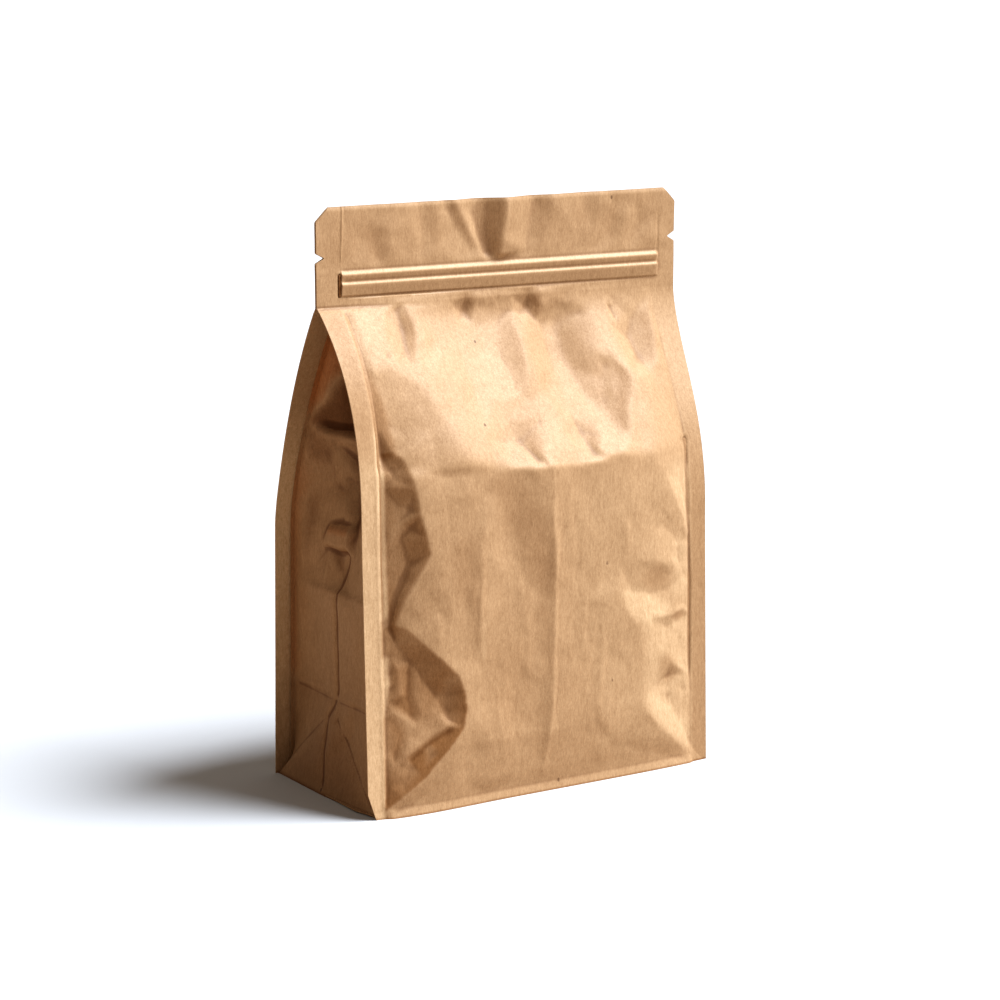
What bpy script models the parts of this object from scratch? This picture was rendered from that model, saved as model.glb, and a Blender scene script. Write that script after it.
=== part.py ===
"""Flat-bottom coffee bag of kraft paper, filled and sealed shut.

A box pouch: a front and a back sheet, each wider than the filled body, so that their edges stand out as four
corner seals and meet above the body as a flat header. Between them the side gussets run down the body, folded
in at the neck, nearly flat lower down, and kicked out in a triangle to meet the edges of the flat base.
Metres, +Z up, the front looks along -Y, and the origin is on the floor under the middle of the bag.
"""

import math

import bmesh
import bpy
import numpy as np

MM = 0.001

# Driving dimensions
HEADER_WIDTH = 130 * MM  # flat width of a sheet, across both corner seals
FILLED_WIDTH = 125.4 * MM  # the filling draws the edges of the sheets in
HEIGHT = 182 * MM
BASE_DEPTH = 60.5 * MM
NECK_Z = 151.5 * MM  # the sheets meet here and the header begins
BODY_TOP = NECK_Z - 1 * MM  # where the sheets have closed to within a millimetre
SHOULDER_Z = 80 * MM  # below this the sheets stand nearly upright
CORNER_SEAL = 6.5 * MM  # width of a corner seal beside the filled body
BASE_SEAL = 3 * MM  # height of the seal along the foot of each sheet
HEADER_Y = -5.5 * MM  # the header stands a little in front of the middle

SHEET = 0.4 * MM  # paper with its inner layers
GAP = 0.3 * MM  # clear space between pieces that touch
LEAN = 2.4 * MM  # how far the corner seals lean in between the foot and the shoulder

# Between its seals each sheet swells out. Its middle is a straight slope down from the neck to a soft break,
# and nearly upright below that.
CROWN_Y = 35 * MM
FRONT_BREAK_Z = 104 * MM
BACK_BREAK_Z = 92 * MM
HEEL_Z = 26 * MM  # below this the swelling draws in to the seal along the foot

# The line of each shoulder at the corner seals, from the neck down.
# A fuller one is rounder, and a slower one sets off more gently.
FRONT_LEFT_FULLNESS = 3.8
FRONT_RIGHT_FULLNESS = 2.7
FRONT_RIGHT_SLOWNESS = 1.6
BACK_FULLNESS = 1.5

GUSSET_FOLD_Z = BASE_DEPTH / 2  # the crease across the gusset, where the base folds up against it
GUSSET_PAPER = 28.6 * MM  # half the width of a gusset's paper
BASE_FLARE = 5.6 * MM  # how far the gusset kicks out below its crease
FOOT_TUCK = 2.6 * MM  # the front left seal is cut slantwise at its foot, in by this much
FOOT_TUCK_Z = 8 * MM
FOOT_SEAL = 0.8 * MM  # width left to a corner seal at the floor, where the gusset spreads to meet its edge

ZIP_LEFT = -56.5 * MM
ZIP_RIGHT = 59 * MM
ZIP_Z = 158.5 * MM
ZIP_HEIGHT = 8 * MM
ZIP_PLATE = 0.5 * MM  # how far the band stands out from the sheet that covers it
ZIP_RIB = 0.9 * MM  # how far a rib stands out from the sheet
ZIP_RIB_HALF = 1.7 * MM  # half the height of a rib
ZIP_RIB_Z = (-1.9 * MM, 2.1 * MM)  # from the middle of the band

NOTCH_Z = 166.8 * MM
NOTCH_DEPTH = 2.8 * MM
NOTCH_RADIUS = 2 * MM  # of the circle round its three-cornered cutter
CORNER_CUT = 4.2 * MM
CUTTER_LENGTH = 20 * MM  # clear of the header on both sides

COLUMNS = 16  # across the filled part of a sheet
GUSSET_ROWS = 8
WALL_ROWS = 5
BREAK_ROWS = 2
SHOULDER_ROWS = 9
HEADER_ROWS = 3

SEAL_X = FILLED_WIDTH / 2 - CORNER_SEAL  # where a corner seal meets the filled body
KRAFT = (0.52, 0.35, 0.2, 1.0)
KRAFT_SHADE = (0.47, 0.31, 0.17, 1.0)


def body_levels():
    """Heights of the rows that the sheets and the body share, closer together where the shape turns."""
    foot = [0, BASE_SEAL]
    heel = np.linspace(0, GUSSET_FOLD_Z, GUSSET_ROWS // 2 + 1)[1:]
    wall = np.linspace(GUSSET_FOLD_Z, BACK_BREAK_Z, WALL_ROWS + 1)[1:]
    between = np.linspace(BACK_BREAK_Z, FRONT_BREAK_Z, BREAK_ROWS + 1)[1:]
    slope = np.linspace(FRONT_BREAK_Z, BODY_TOP, SHOULDER_ROWS + 1)[1:]
    return np.concatenate([foot, heel, wall, between, slope])


def smooth(value, low, high):
    """0 at low, 1 at high, with level ends."""
    t = min(max((value - low) / (high - low), 0), 1)
    return t * t * (3 - 2 * t)


def mix(a, b, share):
    return a + (b - a) * share


def shoulder(z, fullness, slowness):
    """0 at the neck and above, 1 at the shoulder and below."""
    t = min(max((NECK_Z - z) / (NECK_Z - SHOULDER_Z), 0), 1)
    return 1 - (1 - t**slowness) ** fullness


def sheet_edge(z, front, end):
    """X of the left (end -1) or right (end 1) edge of the front sheet (front -1) or the back one (front 1)."""
    drawn_in = smooth(NECK_Z - z, 0, 60 * MM)
    tucked = FOOT_TUCK * max(1 - z / FOOT_TUCK_Z, 0) if front < 0 and end < 0 else 0
    return end * (mix(HEADER_WIDTH, FILLED_WIDTH, drawn_in) / 2 - tucked)


def seal_edge(z, front, end):
    """X of the line where a gusset meets a corner seal: it spreads almost to the sheet's edge at the floor."""
    foot = sheet_edge(0, front, end) - end * FOOT_SEAL
    return mix(end * SEAL_X, foot, max(1 - z / FOOT_TUCK_Z, 0) ** 2)


def filled_x(z, front, across):
    """X of a place on a sheet between its corner seals. across runs from -1 to 1."""
    return mix(seal_edge(z, front, -1), seal_edge(z, front, 1), (across + 1) / 2)


def seal_depth(x, z, side):
    """Distance of the front (side -1) or back (side 1) corner seals from the bag's middle plane."""
    share = (x + HEADER_WIDTH / 2) / HEADER_WIDTH
    if side < 0:
        fullness = mix(FRONT_LEFT_FULLNESS, FRONT_RIGHT_FULLNESS, share)
        drop = shoulder(z, fullness, mix(1, FRONT_RIGHT_SLOWNESS, share))
    else:
        drop = shoulder(z, BACK_FULLNESS, 1)
    foot = BASE_DEPTH / 2 - SHEET - LEAN * min(z / SHOULDER_Z, 1)
    return mix(side * HEADER_Y + GAP / 2, foot, drop)


def crown_depth(z, side):
    """Distance of the middle of a sheet from the bag's middle plane."""
    crease = FRONT_BREAK_Z if side < 0 else BACK_BREAK_Z
    if z > crease:
        return mix(side * HEADER_Y + GAP / 2, CROWN_Y, max(NECK_Z - z, 0) / (NECK_Z - crease))
    return mix(BASE_DEPTH / 2 - SHEET, CROWN_Y, smooth(z, BASE_SEAL, HEEL_Z))


def sheet_depth(x, z, side):
    """Distance of a sheet's inner face in front of (side -1) or behind (side 1) the bag's middle plane."""
    swollen = 1 - min(abs(x) / SEAL_X, 1) ** 3
    return mix(seal_depth(x, z, side), crown_depth(z, side), swollen)


def gusset_x(end, through, z):
    """X of the left (end -1) or right (end 1) gusset. through is -1 at the front seal and 1 at the back."""
    edge = seal_edge(z, -1 if through < 0 else 1, end)
    if z > GUSSET_FOLD_Z:
        opening = (sheet_depth(end * SEAL_X, z, -1) + sheet_depth(end * SEAL_X, z, 1)) / 2
        folded_in = math.sqrt(max(GUSSET_PAPER**2 - opening**2, 0))
        return edge - end * folded_in * (1 - abs(through))
    # Below its crease the gusset kicks out in a triangle that stands on the base's side edge.
    spread = 1 - z / GUSSET_FOLD_Z
    middle = end * (SEAL_X + BASE_FLARE * spread)
    slant = mix(end * SEAL_X, seal_edge(0, -1 if through < 0 else 1, end), spread)
    if abs(through) <= spread:
        return mix(middle, slant, abs(through) / spread)
    return mix(slant, edge, (abs(through) - spread) / (1 - spread))


def clear_scene():
    for item in list(bpy.data.objects):
        bpy.data.objects.remove(item)


def new_collection(name):
    made = bpy.data.collections.new(name)
    bpy.context.scene.collection.children.link(made)
    return made


def paper(name, colour, roughness):
    made = bpy.data.materials.new(name)
    made.use_nodes = True
    shader = made.node_tree.nodes["Principled BSDF"]
    shader.inputs["Base Color"].default_value = colour
    shader.inputs["Roughness"].default_value = roughness
    shader.inputs["Metallic"].default_value = 0.0
    return made


def file_under(item, collection, name):
    """Names a new object and moves it into its collection."""
    item.name = name
    for old in list(item.users_collection):
        old.objects.unlink(item)
    collection.objects.link(item)
    return item


def helper(item, collection, name):
    """A new object that only shapes others."""
    file_under(item, collection, name)
    item.hide_render = True
    item.display_type = "WIRE"


def make_trims(collection):
    """What trims the header: a cut across each top corner and a tear notch at each end."""
    for side, word in ((-1, "left"), (1, "right")):
        bpy.ops.mesh.primitive_cylinder_add(
            vertices=3,
            radius=NOTCH_RADIUS,
            depth=CUTTER_LENGTH,
            location=(side * (HEADER_WIDTH / 2 + NOTCH_RADIUS - NOTCH_DEPTH), HEADER_Y, NOTCH_Z),
            rotation=(math.pi / 2, side * math.pi / 2, 0),
        )
        helper(bpy.context.object, collection, "cut_notch_" + word)
        bpy.ops.mesh.primitive_cube_add(
            size=1,
            location=(side * HEADER_WIDTH / 2, HEADER_Y, HEIGHT),
            rotation=(0, math.pi / 4, 0),
            scale=(CORNER_CUT * math.sqrt(2), CUTTER_LENGTH, CORNER_CUT * math.sqrt(2)),
        )
        helper(bpy.context.object, collection, "cut_corner_" + word)


def make_zip(name, side, collection):
    """The relief of the press-to-close zip in one sheet: a plate with two rounded ribs along it."""
    seat = HEADER_Y + side * (GAP + SHEET) / 2  # in the thickness of the sheet
    face = GAP / 2 + SHEET - (GAP + SHEET) / 2  # from there out to the sheet's face
    middle = (ZIP_LEFT + ZIP_RIGHT) / 2
    length = ZIP_RIGHT - ZIP_LEFT
    bpy.ops.mesh.primitive_cube_add(
        size=1,
        location=(middle, seat + side * (face + ZIP_PLATE) / 2, ZIP_Z),
        scale=(length, face + ZIP_PLATE, ZIP_HEIGHT),
    )
    helper(bpy.context.object, collection, name + "_plate")
    for rib, offset in enumerate(ZIP_RIB_Z):
        bpy.ops.mesh.primitive_cylinder_add(
            vertices=20,
            radius=1,
            depth=length,
            location=(middle, seat + side * face, ZIP_Z + offset),
            rotation=(0, math.pi / 2, 0),
        )
        bar = bpy.context.object
        # Only the half of the bar that stands out from the sheet is kept.
        half = bmesh.new()
        half.from_mesh(bar.data)
        cut = bmesh.ops.bisect_plane(
            half,
            geom=half.verts[:] + half.edges[:] + half.faces[:],
            plane_co=(0, -0.1 * side, 0),
            plane_no=(0, side, 0),
            clear_inner=True,
        )
        rim = [edge for edge in cut["geom_cut"] if isinstance(edge, bmesh.types.BMEdge)]
        bmesh.ops.contextual_create(half, geom=rim)
        bmesh.ops.recalc_face_normals(half, faces=half.faces[:])
        half.to_mesh(bar.data)
        half.free()
        # Before it is turned, the bar's own X points down and its Y through the header.
        bar.scale = (ZIP_RIB_HALF, ZIP_RIB, 1)
        helper(bar, collection, name + "_rib_" + str(rib + 1))


def make_sheet(name, side, collection, trims, zip_parts, material):
    """The front (side -1) or back (side 1) sheet, from the floor to the top of the header."""
    heights = np.concatenate([body_levels(), np.linspace(NECK_Z, HEIGHT, HEADER_ROWS + 1)])
    columns = COLUMNS + 2
    bpy.ops.mesh.primitive_grid_add(
        x_subdivisions=columns,
        y_subdivisions=len(heights) - 1,
        size=2,
        rotation=(math.pi / 2, 0, 0),
    )
    bpy.ops.object.transform_apply(rotation=True)
    sheet = file_under(bpy.context.object, collection, name)
    for vertex in sheet.data.vertices:
        z = heights[round((vertex.co.z + 1) / 2 * (len(heights) - 1))]
        step = round((vertex.co.x + 1) / 2 * columns)
        # The outermost column on each side is the edge of the corner seal.
        x = filled_x(z, side, 2 * (step - 1) / COLUMNS - 1)
        if step in (0, columns):
            x = sheet_edge(z, side, -1 if step == 0 else 1)
        vertex.co = (x, side * sheet_depth(x, z, side), z)
    if side > 0:
        sheet.data.flip_normals()
    sheet.data.materials.append(material)
    # The body's facets are split in the same way, so that the gap between them stays even.
    sheet.modifiers.new("facets", "TRIANGULATE").quad_method = "SHORTEST_DIAGONAL"
    skin = sheet.modifiers.new("skin", "SOLIDIFY")
    skin.thickness = SHEET
    skin.offset = 1
    for title, operation, others in (("zip", "UNION", zip_parts), ("trim", "DIFFERENCE", trims)):
        step = sheet.modifiers.new(title, "BOOLEAN")
        step.solver = "EXACT"
        step.operation = operation
        step.operand_type = "COLLECTION"
        step.collection = others
    return sheet


def cut_block(columns, rows, heights):
    """A block from -1 to 1 along each axis, cut by loops at these places."""
    block = bmesh.new()
    bmesh.ops.create_cube(block, size=2)
    places = [
        ((1, 0, 0), np.linspace(-1, 1, columns + 1)[1:-1]),
        ((0, 1, 0), np.linspace(-1, 1, rows + 1)[1:-1]),
        ((0, 0, 1), 2 * np.array(heights[1:-1]) / heights[-1] - 1),
    ]
    for normal, cuts in places:
        for cut in cuts:
            everything = block.verts[:] + block.edges[:] + block.faces[:]
            where = [cut * part for part in normal]
            bmesh.ops.bisect_plane(block, geom=everything, plane_co=where, plane_no=normal)
    return block


def crease_block(block, fold):
    """Cuts the slanting creases into both gusset faces: from the middle of the fold to the base's corners."""
    for slant in (-1, 1):
        faces = [
            face
            for face in block.faces
            if abs(face.calc_center_median().x) > 0.999
            and face.calc_center_median().z < fold
            and face.calc_center_median().y * slant > 0
        ]
        edges = dict.fromkeys(edge for face in faces for edge in face.edges)
        corners = dict.fromkeys(vertex for face in faces for vertex in face.verts)
        bmesh.ops.bisect_plane(
            block,
            geom=list(corners) + list(edges) + faces,
            plane_co=(0, 0, fold),
            plane_no=(0, fold + 1, slant),
            dist=1e-4,
        )


def make_body(collection, material):
    """The filled body between the sheets: side gussets, flat base and all that they hold, as one solid."""
    heights = body_levels()
    top = heights[-1]
    block = cut_block(COLUMNS, GUSSET_ROWS, heights)
    crease_block(block, 2 * GUSSET_FOLD_Z / top - 1)
    level = [edge for edge in block.edges if all(abs(end.co.z) > 0.9999 for end in edge.verts)]
    for vertex in block.verts:
        across, through, up = vertex.co
        z = (up + 1) / 2 * top
        share = (through + 1) / 2
        x_front, x_back = filled_x(z, -1, across), filled_x(z, 1, across)
        y_front, y_back = GAP - sheet_depth(x_front, z, -1), sheet_depth(x_back, z, 1) - GAP
        x = mix(x_front, x_back, share)
        if abs(across) > 0.999:
            x = gusset_x(math.copysign(1, across), through, z)
        vertex.co = (x, mix(y_front, y_back, share), z)
    # The underside and the top are flat, so each becomes one face.
    bmesh.ops.dissolve_limit(
        block,
        angle_limit=math.radians(0.05),
        verts=list(dict.fromkeys(vertex for edge in level for vertex in edge.verts)),
        edges=level,
        use_dissolve_boundaries=False,
    )
    facets = [face for face in block.faces if len(face.verts) == 4]
    bmesh.ops.triangulate(block, faces=facets, quad_method="SHORT_EDGE")
    mesh = bpy.data.meshes.new("body")
    block.to_mesh(mesh)
    block.free()
    body = bpy.data.objects.new("body", mesh)
    collection.objects.link(body)
    mesh.materials.append(material)
    return body


def main():
    clear_scene()
    bag = new_collection("coffee_bag")
    trims = new_collection("trims")
    kraft = paper("kraft_paper", KRAFT, 0.78)
    gusset = paper("kraft_gusset", KRAFT_SHADE, 0.8)
    make_trims(trims)
    make_body(bag, gusset)
    for name, side in (("front", -1), ("back", 1)):
        zip_parts = new_collection("zip_" + name)
        make_zip("zip_" + name, side, zip_parts)
        make_sheet(name + "_sheet", side, bag, trims, zip_parts, kraft)


main()
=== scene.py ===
# A filled and sealed coffee bag of kraft paper, with a flat base, side gussets and a header that holds a zip.
# Forms are worked out in millimetres, with Z up and the front looking along -Y. The meshes are in metres.
import math

import bpy
import numpy as np
from mathutils import Matrix, Vector
from mathutils.geometry import delaunay_2d_cdt


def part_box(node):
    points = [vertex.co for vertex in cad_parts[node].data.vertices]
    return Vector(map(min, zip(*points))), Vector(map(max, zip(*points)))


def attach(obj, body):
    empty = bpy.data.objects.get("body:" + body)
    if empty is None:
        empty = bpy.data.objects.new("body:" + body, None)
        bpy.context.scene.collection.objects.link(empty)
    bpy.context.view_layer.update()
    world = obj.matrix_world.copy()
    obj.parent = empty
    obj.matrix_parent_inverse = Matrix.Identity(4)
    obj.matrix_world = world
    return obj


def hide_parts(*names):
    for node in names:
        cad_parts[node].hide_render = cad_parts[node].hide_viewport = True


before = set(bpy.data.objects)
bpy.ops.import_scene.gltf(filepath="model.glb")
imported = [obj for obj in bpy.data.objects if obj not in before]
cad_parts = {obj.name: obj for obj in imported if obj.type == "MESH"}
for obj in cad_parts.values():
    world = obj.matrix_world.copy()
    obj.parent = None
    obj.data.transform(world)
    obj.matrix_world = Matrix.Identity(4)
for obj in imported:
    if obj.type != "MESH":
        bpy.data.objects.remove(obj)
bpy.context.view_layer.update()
mm = 0.001

lowFront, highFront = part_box("front_sheet")
lowBody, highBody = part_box("body")

bag = {
    "headerWidth": (highFront.x - lowFront.x) / mm,
    "height": (highFront.z - lowFront.z) / mm,
    "filledWidth": 125.4,  # the filling draws the edges of the sheets in
    "baseDepth": 60.5,
    "neckZ": 151.5,  # the sheets meet here and the header begins
    "shoulderZ": 80,
    "sealX": 56.2,  # where a corner seal meets the filled paper
    "headerY": 5.5,  # the header stands this far in front of the middle
    "sheet": 0.4,  # paper with its inner layers
    "gap": 0.3,
    "lean": 2.4,  # how far a corner seal leans in by the height of the shoulder
    "crown": 35,  # depth of a wall in its middle
    "cornerCut": 4.3,
    "notchZ": 166.8,
    "notchDepth": 2.8,
    "notchHalf": 1.5,
    "footZ": 8,  # below this the corner seals narrow towards the base
    "flatZ": 154.2,  # above this the sheets lie flat on each other
}


def clamp01(t):
    return np.clip(t, 0, 1)


def smoothStep(v, low, high):
    t = clamp01((v - low) / (high - low))
    return t * t * (3 - 2 * t)


def between(v, riseFrom, riseTo, fallFrom, fallTo):
    return smoothStep(v, riseFrom, riseTo) * (1 - smoothStep(v, fallFrom, fallTo))


def mix(a, b, t):
    return a + (b - a) * t


def blur(grid, sigma):
    radius = int(math.ceil(3 * sigma))
    weights = np.exp(-0.5 * (np.arange(-radius, radius + 1) / sigma) ** 2)
    weights /= weights.sum()
    for axis in (0, 1):
        padded = np.pad(grid, [(radius, radius) if a == axis else (0, 0) for a in (0, 1)], mode="edge")
        spread = np.zeros_like(grid)
        for i, weight in enumerate(weights):
            cut = [slice(None), slice(None)]
            cut[axis] = slice(i, i + grid.shape[axis])
            spread += weight * padded[tuple(cut)]
        grid = spread
    return grid


def deselectAll():
    bpy.ops.object.select_all(action="DESELECT")


# Relief of the paper, worked out on grids: flat facets between fold lines, single folds, and what the
# filling presses out.
def reliefGrid(lowU, highU, lowV, highV, cell):
    return np.meshgrid(np.arange(lowU, highU + cell, cell), np.arange(lowV, highV + cell, cell))


def betweenCells(grid, iu, iv, tu, tv):
    below = mix(grid[iv, iu], grid[iv, iu + 1], tu)
    above = mix(grid[iv + 1, iu], grid[iv + 1, iu + 1], tu)
    return mix(below, above, tv)


def readGrid(grid, U, V, u, v):
    cell = U[0, 1] - U[0, 0]
    gu = np.clip((u - U[0, 0]) / cell, 0, grid.shape[1] - 1.001)
    gv = np.clip((v - V[0, 0]) / cell, 0, grid.shape[0] - 1.001)
    iu, iv = gu.astype(int), gv.astype(int)
    return betweenCells(grid, iu, iv, gu - iu, gv - iv)


def patchNear(path, reach, U, V):
    # the part of a grid that lies within reach of a path, or None
    us, vs = [point[0] for point in path], [point[1] for point in path]
    columns = np.where((U[0] >= min(us) - reach) & (U[0] <= max(us) + reach))[0]
    rows = np.where((V[:, 0] >= min(vs) - reach) & (V[:, 0] <= max(vs) + reach))[0]
    if len(columns) == 0 or len(rows) == 0:
        return None
    return slice(rows[0], rows[-1] + 1), slice(columns[0], columns[-1] + 1)


# Points are kept in lettered lines: b3 is the third point of line b. A path names points, and in it "b1-4"
# stands for b1 b2 b3 b4, and "b4-1" for the same backwards.
def namedPoints(lines):
    return {f"{letter}{i}": point for letter, points in lines.items() for i, point in enumerate(points, 1)}


def namesAlong(path):
    names = []
    for part in path.split():
        first, _, last = part[1:].partition("-")
        first, last = int(first), int(last or first)
        step = 1 if last >= first else -1
        names += [f"{part[0]}{i}" for i in range(first, last + step, step)]
    return names


def facetHeights(points, folds, U, V):
    names = list(points)
    flat = [Vector(point[:2]) for point in points.values()]
    given = [point[2] for point in points.values()]
    paths = [[names.index(name) for name in namesAlong(fold)] for fold in folds]
    edges = [(a, b) for path in paths for a, b in zip(path, path[1:])]
    corners, _, faces, sources, _, _ = delaunay_2d_cdt(flat, edges, [], 0, 1e-4)
    height = np.zeros(len(corners))
    for i, source in enumerate(sources):
        if source:
            height[i] = given[source[0]]
        else:  # where two folds cross, the nearest named point decides
            height[i] = given[min(range(len(flat)), key=lambda k: (flat[k] - corners[i]).length)]
    cu = np.array([c.x for c in corners])
    cv = np.array([c.y for c in corners])
    out = np.zeros(U.shape)
    for a, b, c in (face[:3] for face in faces):
        patch = patchNear([corners[a], corners[b], corners[c]], 0, U, V)
        area = (cv[b] - cv[c]) * (cu[a] - cu[c]) + (cu[c] - cu[b]) * (cv[a] - cv[c])
        if patch is None or abs(area) < 1e-9:
            continue
        u, v = U[patch], V[patch]
        wa = ((cv[b] - cv[c]) * (u - cu[c]) + (cu[c] - cu[b]) * (v - cv[c])) / area
        wb = ((cv[c] - cv[a]) * (u - cu[c]) + (cu[a] - cu[c]) * (v - cv[c])) / area
        inside = (wa > -1e-6) & (wb > -1e-6) & (wa + wb < 1 + 1e-6)
        out[patch][inside] = (wa * height[a] + wb * height[b] + (1 - wa - wb) * height[c])[inside]
    return out


def foldHeights(folds, U, V):
    # a fold: path, depth, width to the left of the path, width to its right, softness, fade at each end
    total = np.zeros(U.shape)
    for path, depth, left, right, soft, (fadeIn, fadeOut) in folds:
        lengths = [math.dist(a, b) for a, b in zip(path, path[1:])]
        patch = patchNear(path, max(left, right) + 1, U, V)
        u, v = U[patch], V[patch]
        near = np.full(u.shape, 1e9)
        along, side = np.zeros(u.shape), np.zeros(u.shape)
        start = 0
        for (au, av), (bu, bv), length in zip(path, path[1:], lengths):
            du, dv = (bu - au) / length, (bv - av) / length
            t = np.clip((u - au) * du + (v - av) * dv, 0, length)
            offU, offV = u - au - du * t, v - av - dv * t
            distance = np.hypot(offU, offV)
            closer = distance < near
            near = np.where(closer, distance, near)
            along = np.where(closer, (start + t) / sum(lengths), along)
            side = np.where(closer, du * offV - dv * offU, side)
            start += length
        fade = np.ones(u.shape)
        for reach, share in ((along, fadeIn), (1 - along, fadeOut)):
            if share > 0:
                fade = np.minimum(fade, clamp01(reach / share))
        fade = fade * (2 - fade)
        t = clamp01(near / (np.where(side > 0, left, right) * (0.35 + 0.65 * fade)))
        total[patch] += depth * fade * mix((1 - t) ** 1.5, (1 - t * t) ** 2, soft)
    return total


def pressedFacets(U, V, cell, seed):
    rng = np.random.default_rng(seed)
    lowU, highU, lowV, highV = U.min() - cell, U.max() + cell, V.min() - cell, V.max() + cell
    points = {}
    for i in range(int((highU - lowU) / cell) + 1):
        for k in range(int((highV - lowV) / cell) + 1):
            u = lowU + (i + rng.uniform(0.05, 0.95)) * cell
            v = lowV + (k + rng.uniform(0.05, 0.95)) * cell
            points[i, k] = (u, v, rng.uniform(-1, 1))
    return facetHeights(points, [], U, V)


def slowWaves(U, V, size, seed, stretch):
    rng = np.random.default_rng(seed)
    gu, gv = (U - U.min()) / size, (V - V.min()) / (size * stretch)
    table = rng.uniform(-1, 1, (int(gv.max()) + 3, int(gu.max()) + 3))
    iu, iv = gu.astype(int), gv.astype(int)
    return betweenCells(table, iu, iv, smoothStep(gu - iu, 0, 1), smoothStep(gv - iv, 0, 1))


def pressedPaper(U, V, facets, waves):
    # each set of facets: height, size, seed, softness; waves: height, size, seed, length for their width
    shape = sum(height * blur(pressedFacets(U, V, size, seed), soft) for height, size, seed, soft in facets)
    height, size, seed, stretch = waves
    return shape + height * slowWaves(U, V, size, seed, stretch)


def wearAndCreaseShadeOf(height, cell):
    # positive along the ridges that get rubbed, negative down in the valleys, where shade is painted into the
    # creases
    soft = blur(height, 0.45 / cell)
    middle = soft[1:-1, 1:-1]
    curve = np.zeros_like(soft)
    curve[1:-1, 1:-1] = soft[1:-1, 2:] + soft[1:-1, :-2] + soft[2:, 1:-1] + soft[:-2, 1:-1] - 4 * middle
    return np.tanh(-curve / cell**2 * 2.2)


def insideOutline(outline, U, V):
    inside = np.zeros(U.shape, bool)
    for (au, av), (bu, bv) in zip(outline, outline[1:] + outline[:1]):
        if av != bv:
            inside ^= ((av > V) != (bv > V)) & (U < (bu - au) * (V - av) / (bv - av) + au)
    return inside.astype(float)


def shadeOf(areas, U, V):
    # painted shade and light: 1 for the darkest painted shade in a fold, -1 for the palest painted highlight
    total = np.zeros(U.shape)
    cell = U[0, 1] - U[0, 0]
    for tone, soft, outline in areas:
        patch = patchNear(outline, 3 * soft + 1, U, V)
        total[patch] += tone * blur(insideOutline(outline, U[patch], V[patch]), soft / cell)
    return total


# The smooth form of the bag. Depths are measured from its middle plane, outwards.
def shoulderDrop(z, fullness, slowness):
    t = clamp01((bag["neckZ"] - z) / (bag["neckZ"] - bag["shoulderZ"]))
    return 1 - (1 - t**slowness) ** fullness


def sheetEdge(z, front, end):
    drawnIn = smoothStep(bag["neckZ"] - z, 0, 60)
    edge = mix(bag["headerWidth"], bag["filledWidth"], drawnIn) / 2
    edge = edge - clamp01((z - bag["height"] + bag["cornerCut"]) / bag["cornerCut"]) * bag["cornerCut"]
    edge = edge - bag["notchDepth"] * clamp01(1 - abs(z - bag["notchZ"]) / bag["notchHalf"])
    if front and end < 0:
        edge = edge - 2.6 * clamp01(1 - z / bag["footZ"])  # this seal is cut slantwise at its foot
    return end * edge


def sealEdge(z, front, end):
    foot = sheetEdge(0, front, end) - end * 0.8
    return mix(end * bag["sealX"], foot, clamp01(1 - z / bag["footZ"]) ** 2)


def headerDepth(front):
    return (bag["headerY"] if front else -bag["headerY"]) + bag["gap"] / 2


def sealDepth(x, z, front):
    share = clamp01((x + bag["headerWidth"] / 2) / bag["headerWidth"])
    if front:
        drop = shoulderDrop(z, mix(3.8, 2.7, share), mix(1, 1.6, share))
    else:
        drop = shoulderDrop(z, 1.5, 1)
    foot = bag["baseDepth"] / 2 - bag["sheet"] - bag["lean"] * np.minimum(z / bag["shoulderZ"], 1)
    return mix(headerDepth(front), foot, drop)


# height of the break between shoulder and wall, from the left seal to the right, and how soft it is
frontBreak = {
    "x": (-62, -50, -40, -30, -20, -6, 10, 17, 25, 35, 45, 60),
    "z": (110, 108.5, 106.5, 105, 103.2, 103, 102, 103, 104.5, 103, 104, 105.5),
    "softX": (-60, -40, -30, -20, -14, 20, 60),
    "soft": (4.2, 3.6, 2.0, 0.7, 0.25, 0.25, 0.8),
}
backBreak = {
    "x": (-60, -35, -12, 8, 30, 60),
    "z": (95, 93, 91, 92.5, 91, 94),
    "softX": (-60, -20, 10, 60),
    "soft": (2.4, 0.9, 0.6, 2.0),
}

# how far the middle of a wall has swelled out at each height
wallSwell = {"z": (0, 3, 8, 20, 60, 110), "share": (0.24, 0.30, 0.44, 0.68, 0.9, 1.0)}

# where the shoulder leaves the header: lower in the middle, under the zip
neckLine = {
    "x": (-60, -46, -37, -30, -20, -10, 2, 13, 20, 30, 38, 48, 60),
    "z": (151.5, 151.5, 151.0, 149.0, 147.0, 145.6, 145.6, 144.6, 146.0, 148.0, 149.4, 151.2, 151.5),
}


def crownDepth(x, z, front):
    line = frontBreak if front else backBreak
    header = headerDepth(front)
    neck = np.interp(x, neckLine["x"], neckLine["z"])
    run = (neck - z) / (neck - np.interp(x, line["x"], line["z"])) * (bag["crown"] - header)
    loose = np.interp(abs(x), (12, 30, 42, 60), (9, 6, 1.5, 0.6))
    slope = header + (run + np.sqrt(run**2 + loose)) / 2 * smoothStep(bag["flatZ"] - z, 0, 2.6)
    foot = bag["baseDepth"] / 2 - bag["sheet"]
    wall = foot + (bag["crown"] - foot) * np.interp(z, wallSwell["z"], wallSwell["share"])
    soft = np.interp(x, line["softX"], line["soft"])
    rounded = (slope + wall) / 2 - np.sqrt(((slope - wall) / 2) ** 2 + soft**2) + soft * 0.3
    return np.where(z > bag["flatZ"], header, rounded)


def smoothBulge(x, z, front):
    power = mix(np.where(x < 0, 6, 4) if front else 4, 3, smoothStep(z, 104, 125))
    swell = 1 - np.minimum(np.abs(x) / bag["sealX"], 1) ** power
    return (crownDepth(x, z, front) - sealDepth(x, z, front)) * swell


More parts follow.
